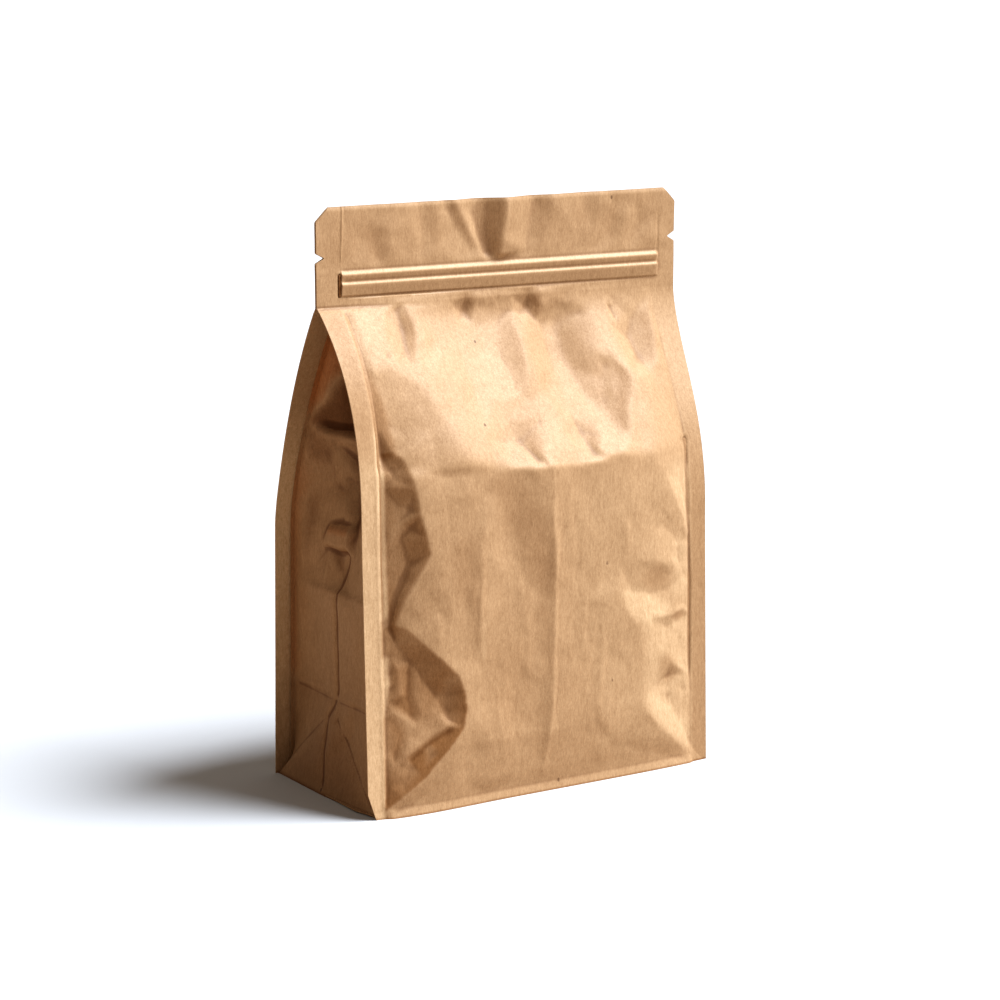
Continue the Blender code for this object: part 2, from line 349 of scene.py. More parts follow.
# The header and its zip
headerU, headerV = reliefGrid(-67, 67, 148, 186, 0.25)

# how far the header bends forwards
headerFacets = {
    "a": [(0.2, 186, 3.04), (-0.2, 176, 3.04), (-1.2, 169, 2.63), (-1.8, 163.6, 1.42)],
    "b": [(-5.6, 186, -1.22), (-5.8, 176, -1.22), (-5.6, 169, -1.22), (-4.8, 164.4, -1.01)],
    "c": [(-9.5, 186, -1.82), (-9.8, 176.5, -2.03), (-7.2, 168, -1.62), (-6.6, 165, -1.01)],
    "d": [(-17, 186, 0.5), (-16.4, 181, 0.5), (-12.8, 174.6, 0.13), (-8.8, 167.4, -0.1), (-8, 164.6, 0.15)],
    "e": [(-21, 186, -0.63), (-20, 181, -0.63), (-16.6, 174, -0.76), (-11, 166.6, -0.52)],
    "f": [(19, 186, 0.76), (18.4, 180, 0.88), (17, 175, 0.63), (14, 167.6, 0.32)],
    "g": [(11.6, 186, -1.01), (11, 178, -1.01), (9.6, 170, -0.63), (8.6, 165.4, -0.21)],
    "h": [(-38.6, 179, 0.12), (-39.6, 173.6, 0.5), (-40.4, 169, 0.58), (-41.6, 163.8, 0.18)],
    "i": [(-46, 177, -0.18), (-45.4, 171.6, -0.58), (-43.6, 165.4, -0.36)],
    "j": [(-54, 176.4, 0), (-50, 171.8, -0.5), (-53.4, 165, 0.12)],
    "k": [(-22.6, 186, 0.15), (-23, 178, 0.32), (-23.6, 169, 0.15), (-28.6, 186, -0.63), (-29, 177, -0.63),
          (-28, 168, -0.3)],
    "l": [(37, 186, 0.21), (36, 179, 0.42), (34, 171, 0.15), (31, 186, -0.52), (30.6, 178, -0.42)],
    "m": [(49, 180, 0.32), (46, 173, 0.42), (43.4, 165.4, 0.3), (42, 177, -0.32), (40, 169, -0.32)],
    "n": [(57.6, 174, 0), (54.4, 168.6, 0.32), (51.6, 171, -0.42)],
    "o": [(-67, 186, 0.2), (-67, 162, 0), (-57, 186, 0.1), (-57, 178, 0.1), (-57, 162, 0), (-45, 162, 0),
          (-30, 162, 0), (-15, 162, 0), (-3, 161.6, 0), (12, 162, 0), (30, 162, 0), (48, 162, 0),
          (67, 162, 0), (67, 186, 0), (59, 186, 0), (52, 186, 0.1), (-34, 165, 0.1), (8, 186, 0.2),
          (6, 174, 0.4), (27, 170, 0.2), (-45, 186, 0), (-36, 186, 0.1), (-33, 176, 0.2)],
}
headerFolds = [
    "a1-4", "b1-4", "c1-4", "d1-5", "e1-4", "f1-4", "g1-4", "h1-4", "i1-3", "j1-2 i3", "k1-3", "k4-6",
    "l1-3", "m1-3",
]

headerSeams = [
    ([(-56.2, 184), (-56.5, 174), (-56.9, 163)], 0.28, 0.7, 0.5, 0.2, (0.0, 0.5)),
    ([(-55.6, 184), (-55.9, 176)], -0.25, 0.7, 0.5, 0.2, (0.0, 0.5)),
    ([(58.6, 176), (58.5, 168), (58.3, 162)], -0.3, 0.6, 0.9, 0.2, (0.4, 0.0)),
]

# the two ribs of the zip: how far the paper stands out at each height, the slit at the left end, and where
# a highlight is painted on the ribs
zipBand = {
    "left": -57.0, "right": 58.8,
    "z": (154.7, 154.95, 155.25, 158.1, 158.45, 159.15, 159.5, 161.2, 161.55, 162.6, 163.0),
    "out": (0.0, 0.26, 0.34, 0.92, 0.94, 0.44, 0.40, 0.86, 0.84, 0.06, 0.0),
    "slit": 1.5, "slitZ": (154.4, 155.0, 161.2, 161.8),
    "ribHighlightZ": ((158.3, 158.7, 159.0, 159.4), (161.5, 161.8, 162.4, 162.9)),
}


def headerWarp(x, z):
    # both sheets of the header bend together
    waves = blur(facetHeights(namedPoints(headerFacets), headerFolds, headerU, headerV), 3.4)
    waves = waves + 0.22 * slowWaves(headerU, headerV, 11, 8, 1.6)
    waves = waves + 0.12 * blur(pressedFacets(headerU, headerV, 5.5, 9), 2.4)
    waves = waves * smoothStep(headerV, 161.6, 165.4)
    return readGrid(waves, headerU, headerV, x, z)


def seamRelief(x, z):
    # thin pressed lines where the side seals stop
    return readGrid(foldHeights(headerSeams, headerU, headerV), headerU, headerV, x, z)


def zipSlit(x, z):
    # the strips inside stop at the left seal and leave a slit in the paper
    return clamp01(1.4 - abs(x - zipBand["left"] + 0.3) / 0.26) * between(z, *zipBand["slitZ"])


def zipRelief(x, z):
    left, right = zipBand["left"], zipBand["right"]
    profile = np.interp(z, zipBand["z"], zipBand["out"])
    band = profile * between(x, left - 0.1, left + 0.25, right - 1.0, right)
    # the cut top edge leans back a little and catches the light
    cut = 0.32 * clamp01((z - bag["height"] + 0.95) / 0.95)
    return band - zipBand["slit"] * zipSlit(x, z) - cut


def headerTilt(x, z):
    # the header stands a little higher at its right end
    return z + x / 60 * 1.15 * np.sqrt(clamp01((z - 150) / 32))


# The front. A point of its wall has how far the paper stands out there from the line between the seals, or
# None and how much further it comes than its smooth form.
frontU, frontV = reliefGrid(-64, 64, 0, 156, 0.35)

frontFacets = {
    # edge of the seal strip on the left
    "a": [(-55.2, 118, None), (-54.8, 109.5, 0.1), (-54.8, 100, 0.0), (-54.6, 90, 0.0), (-54.5, 80, 0.0),
          (-54.4, 70, 0.0), (-54.3, 58.6, 0.1), (-56.6, 57.4, 0.0), (-56.6, 50.4, 0.0), (-54.4, 49.2, 0.1),
          (-54.5, 40, 0.0), (-55.4, 35.5, 0.0), (-56.3, 31, 0.0), (-56.6, 20, 0.0), (-57, 6, 0.0)],
    # crest round the upper hollow
    "b": [(-52, 110.2, 2.4), (-50, 108.8, 4.0), (-48.6, 106, 4.9), (-47.4, 100, 5.6), (-46.2, 92, 6.1),
          (-44.2, 84.5, 6.6), (-43.2, 80, 6.7), (-45, 76.5, 6.2), (-48, 71.5, 5.1), (-51, 66, 3.8),
          (-52.4, 62, 2.8), (-53.3, 58.9, 2.0)],
    # inside it
    "c": [(-52, 103, 1.4), (-51.6, 95, 1.5), (-53.6, 84, 0.8), (-50.8, 89, 2.0), (-47.8, 93.5, 3.8),
          (-52.6, 80.5, 0.7), (-50.3, 84.5, 1.6), (-47.7, 88, 3.2), (-53.0, 74, 0.6), (-48.4, 76.6, 2.2),
          (-52.6, 66, 0.6), (-50.6, 71.2, 1.2)],
    # crest round the lower dent
    "d": [(-50, 57.6, 3.8), (-45, 52.5, 5.1), (-38.4, 46.3, 5.9), (-34, 42, 6.1), (-31.9, 36.5, 6.1),
          (-31.2, 31, 6.0), (-32.5, 25.4, 5.8), (-38, 18.8, 5.0), (-45, 11.6, 3.8), (-52, 6.2, 2.1),
          (-57.3, 2.2, 0.2)],
    # its steep side, and the folded triangle in it
    "e": [(-52.2, 52.5, 1.2), (-48.2, 47, 1.4), (-44.8, 42, 2.2)],
    "k": [(-38.7, 43.0, 4.9), (-39.6, 39.5, 3.8), (-40.5, 36.3, 2.4)],
    "l": [(-36.3, 40.5, 4.9), (-36.9, 36, 3.4), (-37.2, 31, 2.8), (-36.4, 28.4, 3.5)],
    # a narrow fold inside, with a flatter panel on each side of it
    "s": [(-48.6, 43.5, 1.2), (-49.2, 36.5, 1.1), (-48.2, 31.2, 1.3)],
    "f": [(-46.7, 43.6, 2.1), (-46.9, 37, 2.2), (-45.2, 30.8, 2.4)],
    "w": [(-52.2, 45, 1.6), (-51.8, 38, 1.7), (-52.8, 34.6, 0.7)],
    # a short ridge and the curl under it
    "g": [(-53.8, 32.2, 1.0), (-50, 29.6, 1.7), (-46.6, 26.8, 2.5), (-54.4, 29.4, 0.4), (-51.9, 25.2, 0.9),
          (-53.2, 20.2, 0.7)],
    # a flat band that crosses it, and the pocket below
    "m": [(-49.4, 24.6, 1.9), (-44.6, 28.2, 2.5), (-40, 30.6, 3.0)],
    "h": [(-51, 18.6, 2.3), (-47, 21.4, 2.9), (-42.6, 24.2, 3.4), (-37, 27, 4.3)],
    "i": [(-48.8, 16.8, 2.0), (-46.1, 19.5, 2.5), (-42.2, 22.2, 3.0), (-36.8, 25, 4.0), (-43.6, 20.6, 3.0),
          (-42.4, 18.0, 3.4)],
    "j": [(-45.7, 12.9, 3.3), (-39.4, 19.0, 4.5), (-34.6, 23.8, 5.4)],
    "q": [(-48.6, 15.0, 1.9)],
    "o": [(-54, 15.4, 1.1), (-55.2, 10, 0.4), (-56.6, 5, 0.1), (-51, 10.6, 1.6)],
    # the smooth paper round them
    "n": [(-40, 116, None), (-38, 100, None), (-37, 88, None), (-36, 78, None), (-39, 68, None),
          (-44, 60.5, None), (-37, 54.5, None), (-27, 46, None), (-24, 36, None), (-24, 27, None),
          (-29, 17, None), (-37, 9.5, None), (-48, 4.0, None), (-57, 0.5, None), (-58, 12, None),
          (-57.4, 60, None), (-57.4, 109, None)],
    # right-hand side: crest of the lower panel and the corner
    "r": [(25, 69, None, 0), (24.3, 62, None, 0.5), (27, 55.5, None, 0.9), (31, 50, None, 1.0),
          (33.2, 45, None, 0.9), (34.6, 38, None, 0.8), (35, 30, None, 0.8), (34.8, 24, None, 0.9),
          (37, 20, None, 1.0), (42, 14.5, None, 1.0), (50, 8, None, 0.8), (56.4, 3.2, 0.1)],
    # valley above it
    "v": [(30, 60.4, None, -0.5), (38, 58.4, None, -1.3), (45, 58.6, None, -1.0), (31, 70, None, 0.1),
          (39, 69, None, 0.3), (47, 67, None, 0.2), (40, 64.4, None, -0.5), (52, 62, None, -0.3)],
    # inside
    "t": [(38, 50, None, 0.1), (46, 51, None, 0.1), (50, 43, None, -0.2), (46, 30.5, None, -0.9),
          (46, 22, None, -0.4), (52, 15, None, -0.3), (39.4, 28, None, 0), (52, 36, None, -0.4),
          (45, 46.6, None, -0.5), (52, 48, None, -0.3)],
    "p": [(37.4, 44.6, None, 0.4), (42, 39.4, None, 0.5), (46.4, 35.6, None, 0.5), (54.6, 29.6, None, 0.2)],
    # upper right
    "u": [(43, 97, None, 0.3), (46, 91, None, 0.6), (50, 84.5, None, 0.9), (54.6, 77.6, None, 0.6),
          (49, 75, None, -0.7), (41, 81, None, -0.3), (52, 92, None, -0.6)],
    "y": [(20, 74, None), (12, 60, None), (14, 46, None), (16, 34, None), (16, 22, None), (22, 12, None),
          (41, 6, None), (56.4, 0.5, None), (36, 87, None), (38, 102, None), (50, 101, None),
          (56.2, 100, None), (56.2, 80, None), (56.2, 60, None), (56.2, 40, None), (56.2, 20, None),
          (57.5, 4, None), (28, 80, None)],
}
frontFacetFolds = [
    "a1-15", "b1-12", "c3-5", "c6-8", "c10 c12-11", "a2 b1", "b12 d1", "d1-11", "e1-3", "k1-3", "e3 k3",
    "d3 k1", "l1-4", "s1-3", "f1-3", "w1-3", "g1-3", "g4-6", "m1-3", "h1-4 d7", "i1-4", "i5-6", "i1 j1-3",
    "h1 q1 d9", "o1-3", "r1-12", "r2 v1-3 v8", "u1-4", "p1-4", "r5 p1", "y12-16",
]

# the painted shade at each of those points inside the two dents on the left, and the dents' outlines
dentShadeAtPoints = {
    "a": [0.0, 0.6, 0.5, 0.5, 0.5, 0.7, 0.9, 0.5, 0.4, 0.5, 0.6, 0.5, 0.5, 0.4, 0.9],
    "b": [0.48, 0.55, 0.55, 0.55, 0.62, 0.69, 0.69, 0.62, 0.62, 0.62, 0.62, 0.75],
    "c": [0.37, 0.37, 0.19, 0.21, 0.25, 0.37, 0.52, 0.58, 0.42, 0.55, 0.55, 0.49],
    "d": [0.4, 0.6, 0.75, 0.55, 0.9, 1.0, 1.0, 1.05, 1.1, 0.9, 1.0],
    "e": [0.47, 0.64, 0.68],
    "k": [0.85, 0.85, 0.68],
    "l": [0.5, 0.6, 0.65, 0.6],
    "s": [0.8, 0.85, 0.85],
    "f": [0.6, 0.55, 0.55],
    "w": [0.7, 0.65, 0.8],
    "g": [0.35, 0.2, 0.25, 0.7, 0.8, 0.8],
    "m": [0.35, 0.35, 0.45],
    "h": [0.35, 0.3, 0.3, 0.4],
    "i": [1.0, 1.1, 1.05, 1.1, 0.6, 0.6],
    "j": [1.1, 1.1, 1.1],
    "q": [0.5],
    "o": [0.5, 0.8, 1.0, 0.7],
}
dentOutlines = ["b1-12 a7-2", "d1-11 a15-7 b12"]

# other places painted darker (painted shade) or paler (painted light): tone, softness of the edge, outline
headerShades = [
    (0.26, 0.7, [(-8.5, 183), (-0.4, 183), (-0.6, 175), (-1.6, 169), (-2.2, 164.2), (-5, 163.4), (-7, 168),
            (-9.5, 176)]),
    (0.20, 0.8, [(-20, 183), (-17, 183), (-13.4, 175), (-8.8, 168), (-10.5, 167.2), (-16, 174)]),
    (0.20, 1.4, [(11, 183), (18, 183), (17, 176), (14, 168), (11, 172)]),
    (0.16, 1.2, [(-50, 175.4), (-41, 173.4), (-41.3, 166.4), (-44, 163.6), (-47, 169)]),
    (0.14, 1.5, [(-27, 181), (-23, 181), (-23, 172), (-26, 170)]),
    (0.12, 1.5, [(28, 181), (34, 179), (31, 169), (26, 172)]),
    (0.12, 1.2, [(40, 178), (44, 176), (42, 167), (38, 170)]),
    (0.10, 4.0, [(-64, 183), (-22, 183), (-22, 164), (-64, 164)]),
]
shoulderShades = [
    (0.28, 1.5, [(-65, 150), (-57.6, 150), (-57.6, 108), (-65, 108)]),
    (0.20, 1.3, [(-36.2, 151.6), (-34.3, 146.2), (-34.8, 142), (-37, 137), (-39.6, 134), (-40.6, 139),
            (-40, 146), (-38, 150)]),
    (0.20, 0.7, [(-36.2, 151), (-34.3, 146.2), (-34.8, 142), (-37, 137), (-38.4, 139), (-37.2, 144),
            (-37, 148)]),
    (0.26, 0.7, [(-10.6, 153), (-12.2, 144.2), (-15, 148), (-15, 153)]),
    (0.22, 1.2, [(13, 153), (13.2, 147), (12, 143), (8.0, 146), (6.6, 153)]),
    (0.20, 0.6, [(13, 152), (13.2, 147), (12, 143), (10.4, 146), (10.6, 151)]),
    (0.15, 1.6, [(1.6, 145), (2.6, 139), (1.6, 132), (-1, 126), (-5.5, 128), (-6.5, 134), (-4.5, 140),
            (-1.5, 144)]),
    (0.14, 0.9, [(1.6, 144), (2.6, 139), (1.6, 132), (-1, 127), (-1.6, 132), (-0.6, 139)]),
    (0.16, 1.4, [(-10, 114), (-5.2, 104.6), (-2.4, 109), (-0.8, 116), (-5, 118)]),
    (0.26, 0.7, [(-7.8, 109.6), (-5.2, 104.4), (-3.4, 108), (-4.6, 112)]),
    (0.08, 2.4, [(-11, 122), (-5.2, 106), (4, 118), (0, 128)]),
    (0.16, 1.2, [(14, 114), (16, 104.4), (19, 109), (20, 115), (16.6, 117.4)]),
    (0.22, 0.7, [(15.2, 108.4), (16, 104.4), (18.4, 108.6), (18.6, 112)]),
    (0.24, 1.8, [(14, 134), (16, 137), (19, 141), (23, 142.5), (26, 144), (30.5, 145), (30.5, 140),
            (28, 134.5), (29, 131), (27, 127), (25, 121), (21, 119.5), (19, 125), (18.5, 130),
            (15.5, 131)]),
    (0.22, 1.3, [(29.6, 132), (34, 131.4), (38.5, 126), (36, 121), (33, 117), (30.3, 110), (28.2, 110.5),
            (26, 114), (24.4, 120), (26, 125)]),
    (0.20, 0.8, [(34, 129.6), (38.5, 126), (36, 121), (33, 117), (30.3, 110), (28.4, 111), (30.4, 118),
            (33, 123)]),
    (0.20, 1.4, [(44, 138), (47, 141.5), (50, 145), (53.5, 144.5), (53.5, 138), (51.5, 130), (47.5, 126.5),
            (45.5, 129)]),
    (0.16, 0.8, [(50, 144), (53.5, 144.5), (53.5, 138), (51.5, 130), (48.4, 127.4), (50.2, 134)]),
    (0.13, 3.4, [(-54, 134), (-46, 133), (-38, 127), (-33, 116), (-28, 106), (-54, 106)]),
    (0.55, 0.7, [(-56.4, 142), (-54.4, 133), (-51.8, 122), (-51, 110), (-55, 108), (-56.4, 118)]),
    (0.14, 1.2, [(-30, 153.6), (34, 153.6), (20, 147), (12, 145.4), (-12, 146)]),
]
wallShades = [
    (-0.16, 5.0, [(8, 98), (57, 98), (57, 8), (24, 8), (10, 50)]),
    (0.20, 1.8, [(-25, 102), (-14, 102), (-7, 92), (-1.6, 80), (-0.8, 62), (-5, 64), (-11, 76), (-18, 88)]),
    (0.08, 1.2, [(-5.5, 62), (-0.3, 62), (-0.2, 34), (-3, 40)]),
    (0.20, 1.6, [(-35, 84), (-27.4, 84), (-26.6, 62), (-29, 60), (-36, 70)]),
    (0.12, 2.2, [(-24, 52), (-10, 48), (-8, 26), (-22, 24)]),
    (-0.25, 0.7, [(-26, 60), (-24.8, 58), (-24.6, 46), (-25.7, 45)]),
    (-0.42, 1.0, [(25, 61), (32, 61.3), (40, 57.3), (46, 54), (45.5, 50.5), (38, 48), (33, 50), (27, 56)]),
    (-0.26, 1.4, [(33.8, 48.6), (36, 44), (35.4, 33), (35.2, 25), (42, 15), (55.4, 4.6), (55.5, 48),
            (46, 49.5), (40, 48)]),
    (-0.20, 0.8, [(35.6, 24), (42, 15.3), (55.2, 5), (55, 14), (46, 21), (40, 28)]),
    (-0.30, 1.2, [(44, 97), (46.8, 91), (50.5, 84.5), (55.2, 77.6), (55.5, 96), (50, 100)]),
    (-0.20, 1.0, [(48, 76), (55.4, 71), (55.4, 54), (48, 56)]),
    (0.26, 1.0, [(36, 66), (42, 67), (46, 63), (45, 59.5), (39, 60), (34, 62.5)]),
    (0.42, 0.8, [(41.5, 36), (45, 38), (49, 34.5), (50, 30), (46, 27.5), (42.5, 30)]),
    (0.50, 0.5, [(46.5, 49.4), (49, 50.7), (52, 50.6), (54.4, 49.2), (50, 47.8)]),
    # painted light on the strip beside the left seal
    (-0.85, 0.35, [(-57.3, 118), (-55.2, 110), (-54.8, 62), (-55.6, 60), (-57.2, 60)]),
    (-0.75, 0.35, [(-57.3, 49), (-55, 48.6), (-55, 40), (-55.8, 35), (-56.6, 31), (-57.2, 31)]),
]

# how far the shoulder moves from its smooth form: broad dents first, then what has sharper edges
shoulderFacets = {
    # a long dent on the right: its low line, two turns inside it and its crest
    "l": [(24, 144.4, -1.48), (18.6, 141, -2.64), (14.2, 134.4, -2.8), (18.4, 130, -3.46),
          (19.8, 125, -3.46), (21.6, 119.6, -3.13), (25.6, 115.4, -2.64), (28.2, 110.2, -1.32)],
    "m": [(27.6, 141, -0.2), (28, 134.4, 0.0), (31.2, 131.4, 0.0)],
    "b": [(30.6, 129.6, -1.15), (28.4, 125, -1.98), (26.4, 119, -2.64)],
    "c": [(31, 146, 0.0), (31.4, 139.6, 0.33), (35, 131.4, 0.66), (38.8, 126.2, 0.99), (36, 120.4, 0.82),
          (33.4, 116, 0.66), (31, 109.6, 0)],
    # the hollow beside it
    "r": [(50, 145.6, -0.99), (46.6, 141.6, -2.31), (44.2, 137, -2.97), (45.4, 130.6, -2.64),
          (47.4, 126.4, -0.33), (51.8, 129.8, 0.49), (53.8, 137.4, 0.66), (54, 145, 0.1)],
    # the turn on the left, and the hollow beside the seal
    "x": [(-47, 134, 0.6), (-38.4, 128, 1.3), (-33.2, 116, 1.7), (-30, 107, 1.2), (-52, 128, -0.9),
          (-50.4, 118, -1.3), (-49, 106, -1.5)],
    "y": [(-56, 134, -0.5), (-55.6, 121, -1.1), (-55, 110, -1.2)],
    # paper that keeps its form
    "z": [(-57.5, 152, 0), (-57, 142, 0), (-48, 150, 0), (-50, 141, 0), (-26, 152, 0), (-22, 140, 0),
          (-20, 128, 0), (-17, 116, 0), (-20, 103, 0), (-12, 151, 0), (-38, 139, 0), (-38, 104, 0.6),
          (0, 102, 0), (4, 112, 0), (8, 103, 0), (5, 122, 0), (4, 134, 0), (6, 144, 0), (19, 150, 0),
          (38, 151, 0), (57, 151, 0), (57.6, 138, 0), (57, 124, 0), (49, 119, 0), (44, 110, 0),
          (36, 103, 0), (24, 103, 0), (36, 142, -0.1), (40, 131, -0.2), (-54, 104, -1.0), (-58, 106, 0),
          (13, 110, -0.3), (57, 103, 0)],
}
shoulderFolds = ["l1-8", "m1-3", "b1-3", "c1-7", "r1-5", "r5-8", "x1-4", "x5-7", "y1-3"]

# pockets that sit over the break, each open upwards with its left side sharpest
pocketFacets = {
    "v": [(-10.8, 116, -0.9), (-8.6, 110, -2.3), (-5.2, 104.6, -1.2), (-3.2, 106, 0.0), (0.4, 110, 0.1),
          (2, 116, 0.1), (-4.5, 122, 0)],
    "w": [(13.2, 116, -0.6), (14.5, 110.6, -1.6), (16.0, 104.4, -1.1), (18.2, 106, 0.0), (21, 109.6, 0.1),
          (24, 114, 0.1), (18, 120, 0)],
    "z": [(-21, 112, 0), (-16, 103.6, 0), (-8.6, 102.8, 0), (-2.4, 103.2, 0), (7, 112, 0), (5, 103, 0),
          (7, 121, 0), (12, 103, 0), (20, 103.2, 0), (30, 106, 0), (28, 118, 0), (1, 124, 0), (-14, 122, 0),
          (-64, 90, 0), (64, 90, 0), (64, 156, 0), (-64, 156, 0)],
    # pleats under the zip: crest, then the low line on its left
    "s": [(-36.2, 152, 0.2), (-34.4, 146.6, 0.4), (-34.7, 142, 0.4), (-37, 137, 0.2), (-39.6, 133.4, 0),
          (-38.4, 149.6, -0.6), (-38.4, 143.6, -1.7), (-39.8, 138, -1.0), (-46, 142, 0), (-44, 149, 0),
          (-45, 135, 0)],
    "t": [(-9.8, 154, 0.3), (-10.4, 149, 0.3), (-12.2, 143.8, 0), (-13.4, 153, -0.1), (-14.2, 147.6, -1.1),
          (-20, 151, 0), (-18, 145, 0)],
    "u": [(13.2, 154, 0.5), (13.4, 148, 0.5), (12, 142.8, 0), (9.6, 153.4, -0.2), (8.8, 147.8, -1.5),
          (2, 152, 0), (4, 145, 0)],
    "y": [(-28, 150, 0), (-28, 140, 0), (-5, 151, 0), (-6, 144, 0), (22, 152, 0), (20, 144, 0),
          (-38, 130, 0)],
}
pocketFolds = ["v1-3", "v3-6", "w1-3", "w3-6", "s1-5", "s6-8", "t1-3", "t4-5 t3", "u1-3", "u4-5 u3"]

# folds that rise out of the smooth paper, or sink into it when the depth is negative
frontFolds = [
    # soft pleat in the middle of the shoulder
    ([(1.6, 147), (2.6, 139), (1.6, 132), (-1.2, 122)], 2.0, 13.0, 8.0, 0.45, (0.35, 0.6)),
    ([(-47.5, 138.4), (-46.6, 135.8)], -0.4, 0.9, 1.4, 0.2, (0.2, 0.3)),
    ([(38.4, 147.5), (40.6, 141.3)], -0.5, 2.2, 1.2, 0.3, (0.2, 0.4)),
    # along the left seal above the hollow
    ([(-56.7, 150.5), (-56.8, 130), (-56.2, 118), (-55.4, 109)], -0.7, 4.0, 0.9, 0.3, (0.1, 0.0)),
    # the bag's middle crest
    ([(-0.8, 96), (-1.2, 88), (0, 79), (0.7, 60), (0.3, 45), (0.7, 34), (-0.4, 19), (-2.2, 3.5)],
     0.36, 0.9, 3.4, 0.1, (0.2, 0.15)),
    ([(-1.0, 103.4), (-1.2, 90), (-0.4, 76), (0.2, 62)], 1.9, 15.0, 17.0, 0.35, (0.0, 0.7)),
    ([(-0.2, 78), (0.6, 56), (0.3, 30), (-1.5, 8)], 0.8, 12.0, 7.0, 0.5, (0.4, 0.35)),
    ([(-24, 96), (-25.4, 82), (-26.0, 66), (-25.6, 44)], 0.9, 11.0, 7.0, 0.6, (0.35, 0.45)),
    ([(-27.5, 32), (-22, 18), (-24, 4)], 0.7, 14.0, 8.0, 0.8, (0.4, 0.2)),
    ([(20.5, 30), (21, 16), (19, 5)], 0.45, 8.0, 5.0, 0.5, (0.4, 0.3)),
    # faint upright folds
    ([(-26.2, 83), (-26.0, 72), (-26.8, 62), (-26.2, 49)], 0.35, 1.3, 4.5, 0.3, (0.3, 0.4)),
    ([(-41, 62), (-40.2, 52)], 0.25, 1.5, 3.5, 0.4, (0.4, 0.4)),
    ([(12.5, 62), (11.0, 50), (12.5, 38)], 0.22, 1.8, 4.0, 0.6, (0.4, 0.4)),
    ([(18.0, 54), (19.0, 40), (17.2, 26), (19.6, 17)], 0.3, 1.8, 4.0, 0.5, (0.4, 0.3)),
    ([(27, 84), (28, 72)], 0.3, 2.0, 5.0, 0.7, (0.4, 0.4)),
    # small creases on the right
    ([(46.2, 49.8), (49, 51.4), (52.4, 51.6), (55.6, 49.4)], 0.5, 1.6, 2.6, 0.2, (0.35, 0.15)),
    ([(51.6, 79.2), (55.8, 74.6)], 0.3, 1.4, 2.6, 0.4, (0.3, 0.1)),
    # seams beside the corner seals
    ([(57, 106), (55.4, 95), (55.5, 80), (56.4, 60), (56.0, 27)], -0.7, 0.9, 1.8, 0.2, (0.02, 0.1)),
    ([(52.5, 105.6), (56.5, 104.8)], -0.3, 0.9, 2.6, 0.4, (0.5, 0.1)),
    ([(-57.4, 151), (-57.4, 60), (-57.4, 3)], 0.35, 0.8, 0.7, 0.2, (0.01, 0.01)),
]

# short creases that the filling presses in beside the seals and under the header
creaseAreas = [
    # middle, spread, lean of the creases in degrees and how far it varies, count, length, depth
    ((-50, 60), (5, 40), (70, 24), 8, (4, 10), 0.20),
    ((46, 68), (8, 28), (140, 20), 9, (5, 13), 0.24),
    ((46, 22), (8, 14), (132, 20), 5, (4, 10), 0.22),
    ((0, 148), (40, 3), (90, 20), 8, (3, 6), 0.20),
    ((0, 128), (42, 16), (100, 26), 12, (5, 12), 0.15),
    ((-4, 58), (32, 36), (91, 6), 24, (12, 34), 0.16),
    ((8, 12), (40, 6), (80, 20), 8, (4, 9), 0.14),
]


def smallFolds():
    rng = np.random.default_rng(17)
    folds = []
    for (midU, midV), (spreadU, spreadV), (lean, varied), count, (shortest, longest), depth in creaseAreas:
        for _ in range(count):
            u, v = midU + rng.uniform(-1, 1) * spreadU, midV + rng.uniform(-1, 1) * spreadV
            turn = math.radians(lean + rng.normal(0, varied))
            half = rng.uniform(shortest, longest) / 2
            bow = rng.uniform(-0.12, 0.12) * half
            du, dv = math.cos(turn), math.sin(turn)
            middle = (u - dv * bow, v + du * bow)
            path = [(u + du * half, v + dv * half), middle, (u - du * half, v - dv * half)]
            size = depth * rng.choice((-1, 1, 1)) * rng.uniform(0.4, 1.0)
            folds.append((path, size, rng.uniform(0.8, 2.0), rng.uniform(2.0, 5.5), 0.3, (0.45, 0.45)))
    return folds


def dentShadeGrid():
    # painted shade inside the two dents on the left
    toned = {}
    for letter, points in frontFacets.items():
        tones = dentShadeAtPoints.get(letter, [0.0] * len(points))
        toned[letter] = [(point[0], point[1], tone) for point, tone in zip(points, tones)]
    corners = namedPoints(toned)
    tones = facetHeights(corners, frontFacetFolds, frontU, frontV)
    inside = np.zeros(frontU.shape)
    for path in dentOutlines:
        outline = [corners[name][:2] for name in namesAlong(path)]
        inside = np.maximum(inside, insideOutline(outline, frontU, frontV))
    return blur(tones, 0.8) * blur(inside, 0.7)


def wallRelief():
    placed = {}
    for name, (x, z, out, *extra) in namedPoints(frontFacets).items():
        if out is None:
            placed[name] = (x, z, sum(extra))
        else:
            placed[name] = (x, z, out - float(smoothBulge(np.array(float(x)), np.array(float(z)), True)))
    return blur(facetHeights(placed, frontFacetFolds, frontU, frontV), 1.0)


def shoulderRelief():
    broad = blur(facetHeights(namedPoints(shoulderFacets), shoulderFolds, frontU, frontV), 2.6)
    return broad + blur(facetHeights(namedPoints(pocketFacets), pocketFolds, frontU, frontV), 1.2)


def baseLip():
    # the walls end in a lip round the base
    return 0.75 * clamp01(1 - frontV / 2.8) * (1 - smoothStep(abs(frontU), 55, 57.5))


def filledArea(sealFrom):
    return between(frontV, 2.5, 12, 149, 153) * (1 - smoothStep(abs(frontU), sealFrom, 57))


def frontRelief():
    shape = wallRelief() + shoulderRelief()
    shape += blur(foldHeights(frontFolds, frontU, frontV), 0.8)
    shape += blur(foldHeights(smallFolds(), frontU, frontV), 0.8)
    pressed = pressedPaper(frontU, frontV, [(0.22, 9.0, 4, 2.0), (0.10, 4.5, 11, 1.0)], (0.35, 13, 21, 2.2))
    return shape + baseLip() + filledArea(54) * pressed


